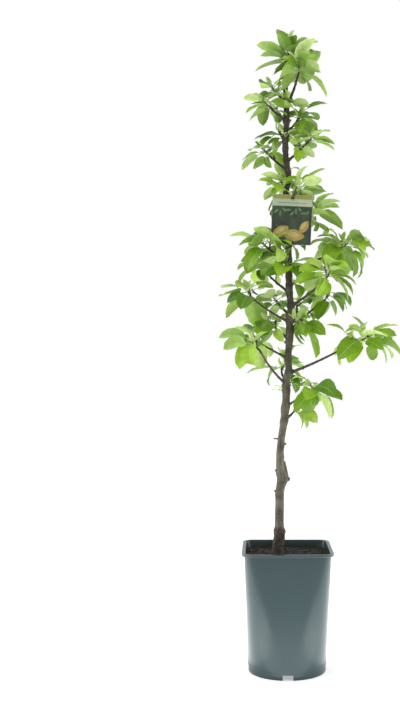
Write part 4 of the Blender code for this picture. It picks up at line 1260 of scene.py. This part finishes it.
def youngLeaves(grown, rng):
    # small upright leaves that still unfold at the middle of a rosette
    look = youngLook
    stray = look["stray"]
    leaves = []
    for item in grown:
        for twig in item["twigs"]:
            heading = (twig[-1] - twig[-2]).normalized()
            for _ in range(rng.choice(look["counts"])):
                astray = Vector([rng.uniform(-stray, stray) for _ in range(3)])
                way = (heading + astray + Vector((0, 0, look["upwards"]))).normalized()
                side = way.cross(Vector([rng.uniform(-1, 1) for _ in range(3)])).normalized()
                length = rng.uniform(*look["length"])
                leaves.append({
                    "root": twig[-1], "heading": way, "side": side, "normal": way.cross(side),
                    "stalk": look["stalk"], "length": length, "width": look["narrow"] * length,
                    "fall": rng.uniform(*look["fall"]), "twigHeading": heading})
    return leaves


tuftLook = {
    "places": (  # height on the trunk, azimuth, leaves and their length
        (0.236, 150, 3, 0.016), (0.244, 30, 2, 0.012), (0.296, 25, 2, 0.013), (0.606, -100, 3, 0.012),
        (0.560, 60, 2, 0.014), (0.470, 160, 3, 0.016), (0.685, 30, 3, 0.015),
    ),
    "sunk": 0.8, "fan": 70, "rise": (15, 60), "size": (0.8, 1.2), "narrow": 0.5, "fall": (30, 70),
    "stalk": 0.006,
}


def tuftLeaves(rng):
    # small tufts straight on the trunk
    look = tuftLook
    leaves = []
    for height, azimuth, count, length in look["places"]:
        out = direction(azimuth, 0)
        root = trunkCentre(height) + out * trunkRadius(height) * look["sunk"]
        for index in range(count):
            way = direction(azimuth + look["fan"] * (index - (count - 1) / 2), rng.uniform(*look["rise"]))
            level = way.cross(Vector((0, 0, 1))).normalized()
            long = length * rng.uniform(*look["size"])
            leaves.append({
                "root": root, "heading": way, "side": -level, "normal": way.cross(-level),
                "stalk": look["stalk"], "length": long, "width": look["narrow"] * long,
                "fall": rng.uniform(*look["fall"]),
                "twigHeading": out})
    return leaves


def makeLeaves(grown):
    rng = random.Random(leafLook["seed"])
    tints = list(leafLook["tints"])
    blades = bmesh.new()
    blades.loops.layers.uv.new("leaf")
    stalks = bmesh.new()
    for item in grown:
        # masses at the back take the shade spray, painted shade; the others take the sun spray, painted
        # sunlight, or the mixed one
        inPaintedShade = item["name"].startswith("back")
        spray = leafLook["sprays"]["shade" if inPaintedShade else rng.choice(("sun", "mixed", "mixed"))]
        for leaf in item["leaves"]:
            tint = rng.choice(spray)
            if leaf["age"] < leafLook["young"] and rng.random() < leafLook["youngShare"]:
                tint = "light"
            addLeaf(blades, leaf, tints.index(tint), rng)
            addStalk(stalks, leaf)
    for leaf in youngLeaves(grown, rng) + tuftLeaves(rng):
        addLeaf(blades, leaf, tints.index(rng.choice(leafLook["youngTints"])), rng)
        addStalk(stalks, leaf)
    nodes = ["leaves_" + item["name"] for item in grown]
    addPiece("leafBlades", blades, leafMaterials(), nodes, 60)
    addPiece("leafStalks", stalks, [mottled("leaf stalk", stalkLook["green"])], [], 60)


# card label

def cardOutline(left, right, low, high, corners):
    # a rectangle in the card's plane; corners are the four radii, from the upper right one anticlockwise
    outline = []
    signs = ((1, 1), (-1, 1), (-1, -1), (1, -1))
    for quarter, ((sideX, sideY), radius) in enumerate(zip(signs, corners)):
        x = (right - radius) if sideX > 0 else (left + radius)
        y = (high - radius) if sideY > 0 else (low + radius)
        steps = 6 if radius else 0
        for step in range(steps + 1):
            angle = math.radians(90 * (quarter + (step / steps if steps else 0)))
            outline.append((x + radius * math.cos(angle), y + radius * math.sin(angle)))
    return outline


def oval(x, y, long, wide, turn, point=0.0, sides=28):
    # an oval, drawn out to a point at its far end where point is above 0
    outline = []
    c, s = math.cos(math.radians(turn)), math.sin(math.radians(turn))
    for index in range(sides):
        angle = math.tau * index / sides
        u = long * math.cos(angle)
        v = wide * math.sin(angle) * (1 - point * max(0, math.cos(angle)) ** 2)
        outline.append((x + u * c - v * s, y + u * s + v * c))
    return outline


def cardSheet(bm, outlines, front, back, material):
    # flat outlines filled and given a thickness, sliced across, bowed with the card and hung in its place
    curve = bpy.data.curves.new("card outline", "CURVE")
    curve.dimensions = "2D"
    curve.fill_mode = "BOTH"
    curve.extrude = (front - back) / 2
    for outline in outlines:
        spline = curve.splines.new("POLY")
        spline.use_cyclic_u = True
        spline.points.add(len(outline) - 1)
        for spot, point in zip(spline.points, outline):
            spot.co = (*point, 0, 1)
    guide = bpy.data.objects.new("card guide", curve)
    bpy.context.scene.collection.objects.link(guide)
    sheet = bmesh.new()
    sheet.from_mesh(evaluatedMesh(guide))
    bpy.data.objects.remove(guide, do_unlink=True)
    bmesh.ops.remove_doubles(sheet, verts=sheet.verts, dist=0.000001)
    for index in range(1, label["slices"]):
        x = label["width"] * (index / label["slices"] - 0.5)
        geom = sheet.verts[:] + sheet.edges[:] + sheet.faces[:]
        bmesh.ops.bisect_plane(sheet, geom=geom, dist=0.000001, plane_co=(x, 0, 0), plane_no=(1, 0, 0))
    bmesh.ops.recalc_face_normals(sheet, faces=sheet.faces)
    place = labelPlace()
    for vert in sheet.verts:
        x, y, z = vert.co
        bow = label["bow"] * (x * x - label["bowMiddle"])
        vert.co = place @ Vector((x, y, z + (front + back) / 2 - bow))
    for face in sheet.faces:
        face.material_index = material
    bm.from_mesh(newMesh("card sheet", sheet))


def makeLabel():
    # the stock, three full prints one over the other, a sprig of golden leaves, small leaves above and a rule
    half = label["width"] / 2
    top = label["holeDrop"]
    low = top - label["height"]
    band, pale = top - label["band"], top - label["pale"]
    front, ink, margin = label["thickness"] / 2, label["ink"], label["margin"]
    soft = label["corner"] - margin
    hole = oval(0, 0, label["holeRadius"], label["holeRadius"], 0, 0, label["holeSides"])
    bm = bmesh.new()
    cardSheet(bm, [cardOutline(-half, half, low, top, (label["corner"],) * 4), hole], front, -front, 0)
    prints = (  # margin, foot, corners, how far it stands out and reaches in, and print
        (margin, low + margin, (soft,) * 4, ink, -ink, 3),
        (1.5 * margin, pale, (soft, soft, 0, 0), 2 * ink, -0.5 * ink, 2),
        (2.1 * margin, band, (soft, soft, 0, 0), 3 * ink, 0.5 * ink, 1),
    )
    for edge, foot, corners, out, back, number in prints:
        outline = cardOutline(edge - half, half - edge, foot, top - edge, corners)
        cardSheet(bm, [outline, hole], front + out, front + back, number)
    layer = front + ink
    for x, y, long, wide, turn in label["goldenLeaves"]:
        y += low
        cardSheet(bm, [oval(x, y, long, wide, turn, 0.55)], layer + ink, layer - ink, 4)
        heart = oval(x - 0.001, y + 0.0012, 0.62 * long, 0.42 * wide, turn, 0.5)
        cardSheet(bm, [heart], layer + 2 * ink, layer, 5)
    small = label["smallLeaves"]
    for index in range(small["count"]):
        x = -half + small["inset"] + small["step"] * index
        y = pale - small["drop"] - small["wave"] * math.sin(small["waveStep"] * index)
        leaf = oval(x, y, *small["size"], small["turn"] + small["turnStep"] * index, 0.7, 16)
        cardSheet(bm, [leaf], layer + ink, layer - ink, 6)
    reach, ruleFoot, ruleTop = label["rule"]
    rule = cardOutline(-reach, reach, pale + ruleFoot, pale + ruleTop, (0, 0, 0, 0))
    cardSheet(bm, [rule], layer + 2 * ink, layer, 6)
    materials = [mottled("card stock", label["stock"])]
    for name, (scale, tones) in label["prints"].items():
        materials.append(mottled(name, label["printLook"] | {"scale": scale, "tones": tones}))
    addPiece("cardLabel", bm, materials, ["label"], 30)


# floor, light and camera

floorLook = {
    "radius": 14, "drop": 0.0002,
    "pale": {
        "tones": ((0.80, 0.80, 0.80), (0.82, 0.82, 0.82)), "roughness": 0.8, "scale": 3.0,
        "bumpScale": 300.0, "bump": 0.02, "bumpDepth": 0.0005,
        "plain": {"Specular IOR Level": 0.1, "Emission Color": (1, 1, 1, 1), "Emission Strength": 0.42},
    },
}


def makeStage():
    bm = bmesh.new()
    bmesh.ops.create_circle(bm, cap_ends=True, segments=96, radius=floorLook["radius"])
    bmesh.ops.translate(bm, verts=bm.verts, vec=(0, 0, -floorLook["drop"]))
    bmesh.ops.recalc_face_normals(bm, faces=bm.faces)
    floor = meshObject("studioFloor", bm)
    floor.data.materials.append(mottled("pale floor", floorLook["pale"]))


studio = {  # a white room, dimmer high up on the camera's side: its brightness by direction, and its lamps
    "front": 0.25, "back": 1.0, "depth": (-0.85, 0.05), "level": (0.10, 0.42),
    "lamps": {  # place, aim, width and height, watts
        "key": ((-1.3, -1.1, 2.3), (0, 0, 0.55), (1.0, 1.0), 12),
        "left box": ((-1.20, 0.10, 0.60), (0, 0, 0.45), (0.8, 1.5), 8),
        "right box": ((1.20, 0.10, 0.60), (0, 0, 0.45), (0.8, 1.5), 8),
        "left floor panel": ((-0.335, 0.05, 0.002), (-0.335, 0.05, 1), (0.52, 0.60), 1.4),
        "right floor panel": ((0.335, 0.05, 0.002), (0.335, 0.05, 1), (0.52, 0.60), 1.4),
        "front floor panel": ((0, -0.16, 0.002), (0, -0.16, 1), (0.34, 0.20), 0.25),
    },
}


def addLight(name, place, aim, size, power):
    lamp = bpy.data.lights.new(name, "AREA")
    lamp.shape = "RECTANGLE"
    lamp.size, lamp.size_y = size
    lamp.energy = power
    made = bpy.data.objects.new(name, lamp)
    made.location = place
    made.rotation_euler = (Vector(aim) - Vector(place)).to_track_quat("-Z", "Y").to_euler()
    bpy.context.scene.collection.objects.link(made)


def makeLights():
    world = bpy.data.worlds.new("studio")
    world.use_nodes = True
    tree = world.node_tree
    sky = tree.nodes["Background"]
    sky.inputs["Color"].default_value = (1, 1, 1, 1)
    way = addNode(tree, "SeparateXYZ", {"Vector": addNode(tree, "TexCoord").outputs["Generated"]})
    byDepth = ranged(tree, way.outputs["Y"], studio["depth"], (studio["front"], studio["back"]), "SMOOTHSTEP")
    slope = maths(tree, "ABSOLUTE", way.outputs["Z"])
    byLevel = ranged(tree, slope, studio["level"], (studio["back"], 0), "SMOOTHSTEP")
    tree.links.new(maths(tree, "MAXIMUM", byDepth, byLevel), sky.inputs["Strength"])
    bpy.context.scene.world = world
    for name, lamp in studio["lamps"].items():
        addLight(name, *lamp)


camera = {  # level, looking along +Y; the picture's centre is shifted, in pixels of the photograph
    "place": (-0.0364, -1.400, 0.428), "lens": 48.5, "sensor": 36.0, "frameWidth": 400, "frameHeight": 713,
    "axisX": 262.0, "axisY": 375.0,
}


def makeCamera():
    data = bpy.data.cameras.new("camera")
    data.lens = camera["lens"]
    data.sensor_width = camera["sensor"]
    data.shift_x = (camera["frameWidth"] / 2 - camera["axisX"]) / camera["frameHeight"]
    data.shift_y = (camera["axisY"] - camera["frameHeight"] / 2) / camera["frameHeight"]
    made = bpy.data.objects.new("camera", data)
    made.location = camera["place"]
    made.rotation_euler = (math.radians(90), 0, 0)
    bpy.context.scene.collection.objects.link(made)
    bpy.context.scene.camera = made


makePot()
makeSoil()
makeCrumbs()
grown = growMasses()
print("grown", sum(len(item["leaves"]) for item in grown), "leaves in", len(grown), "masses")
buds = []
makeTrunk()
makeBoughs(buds)
trunkBuds(buds)
makeTwigs(grown, buds)
makeBuds(buds)
makeLeaves(grown)
makeLabel()
makeStage()
makeLights()
makeCamera()
bpy.context.scene.view_settings.view_transform = "Standard"
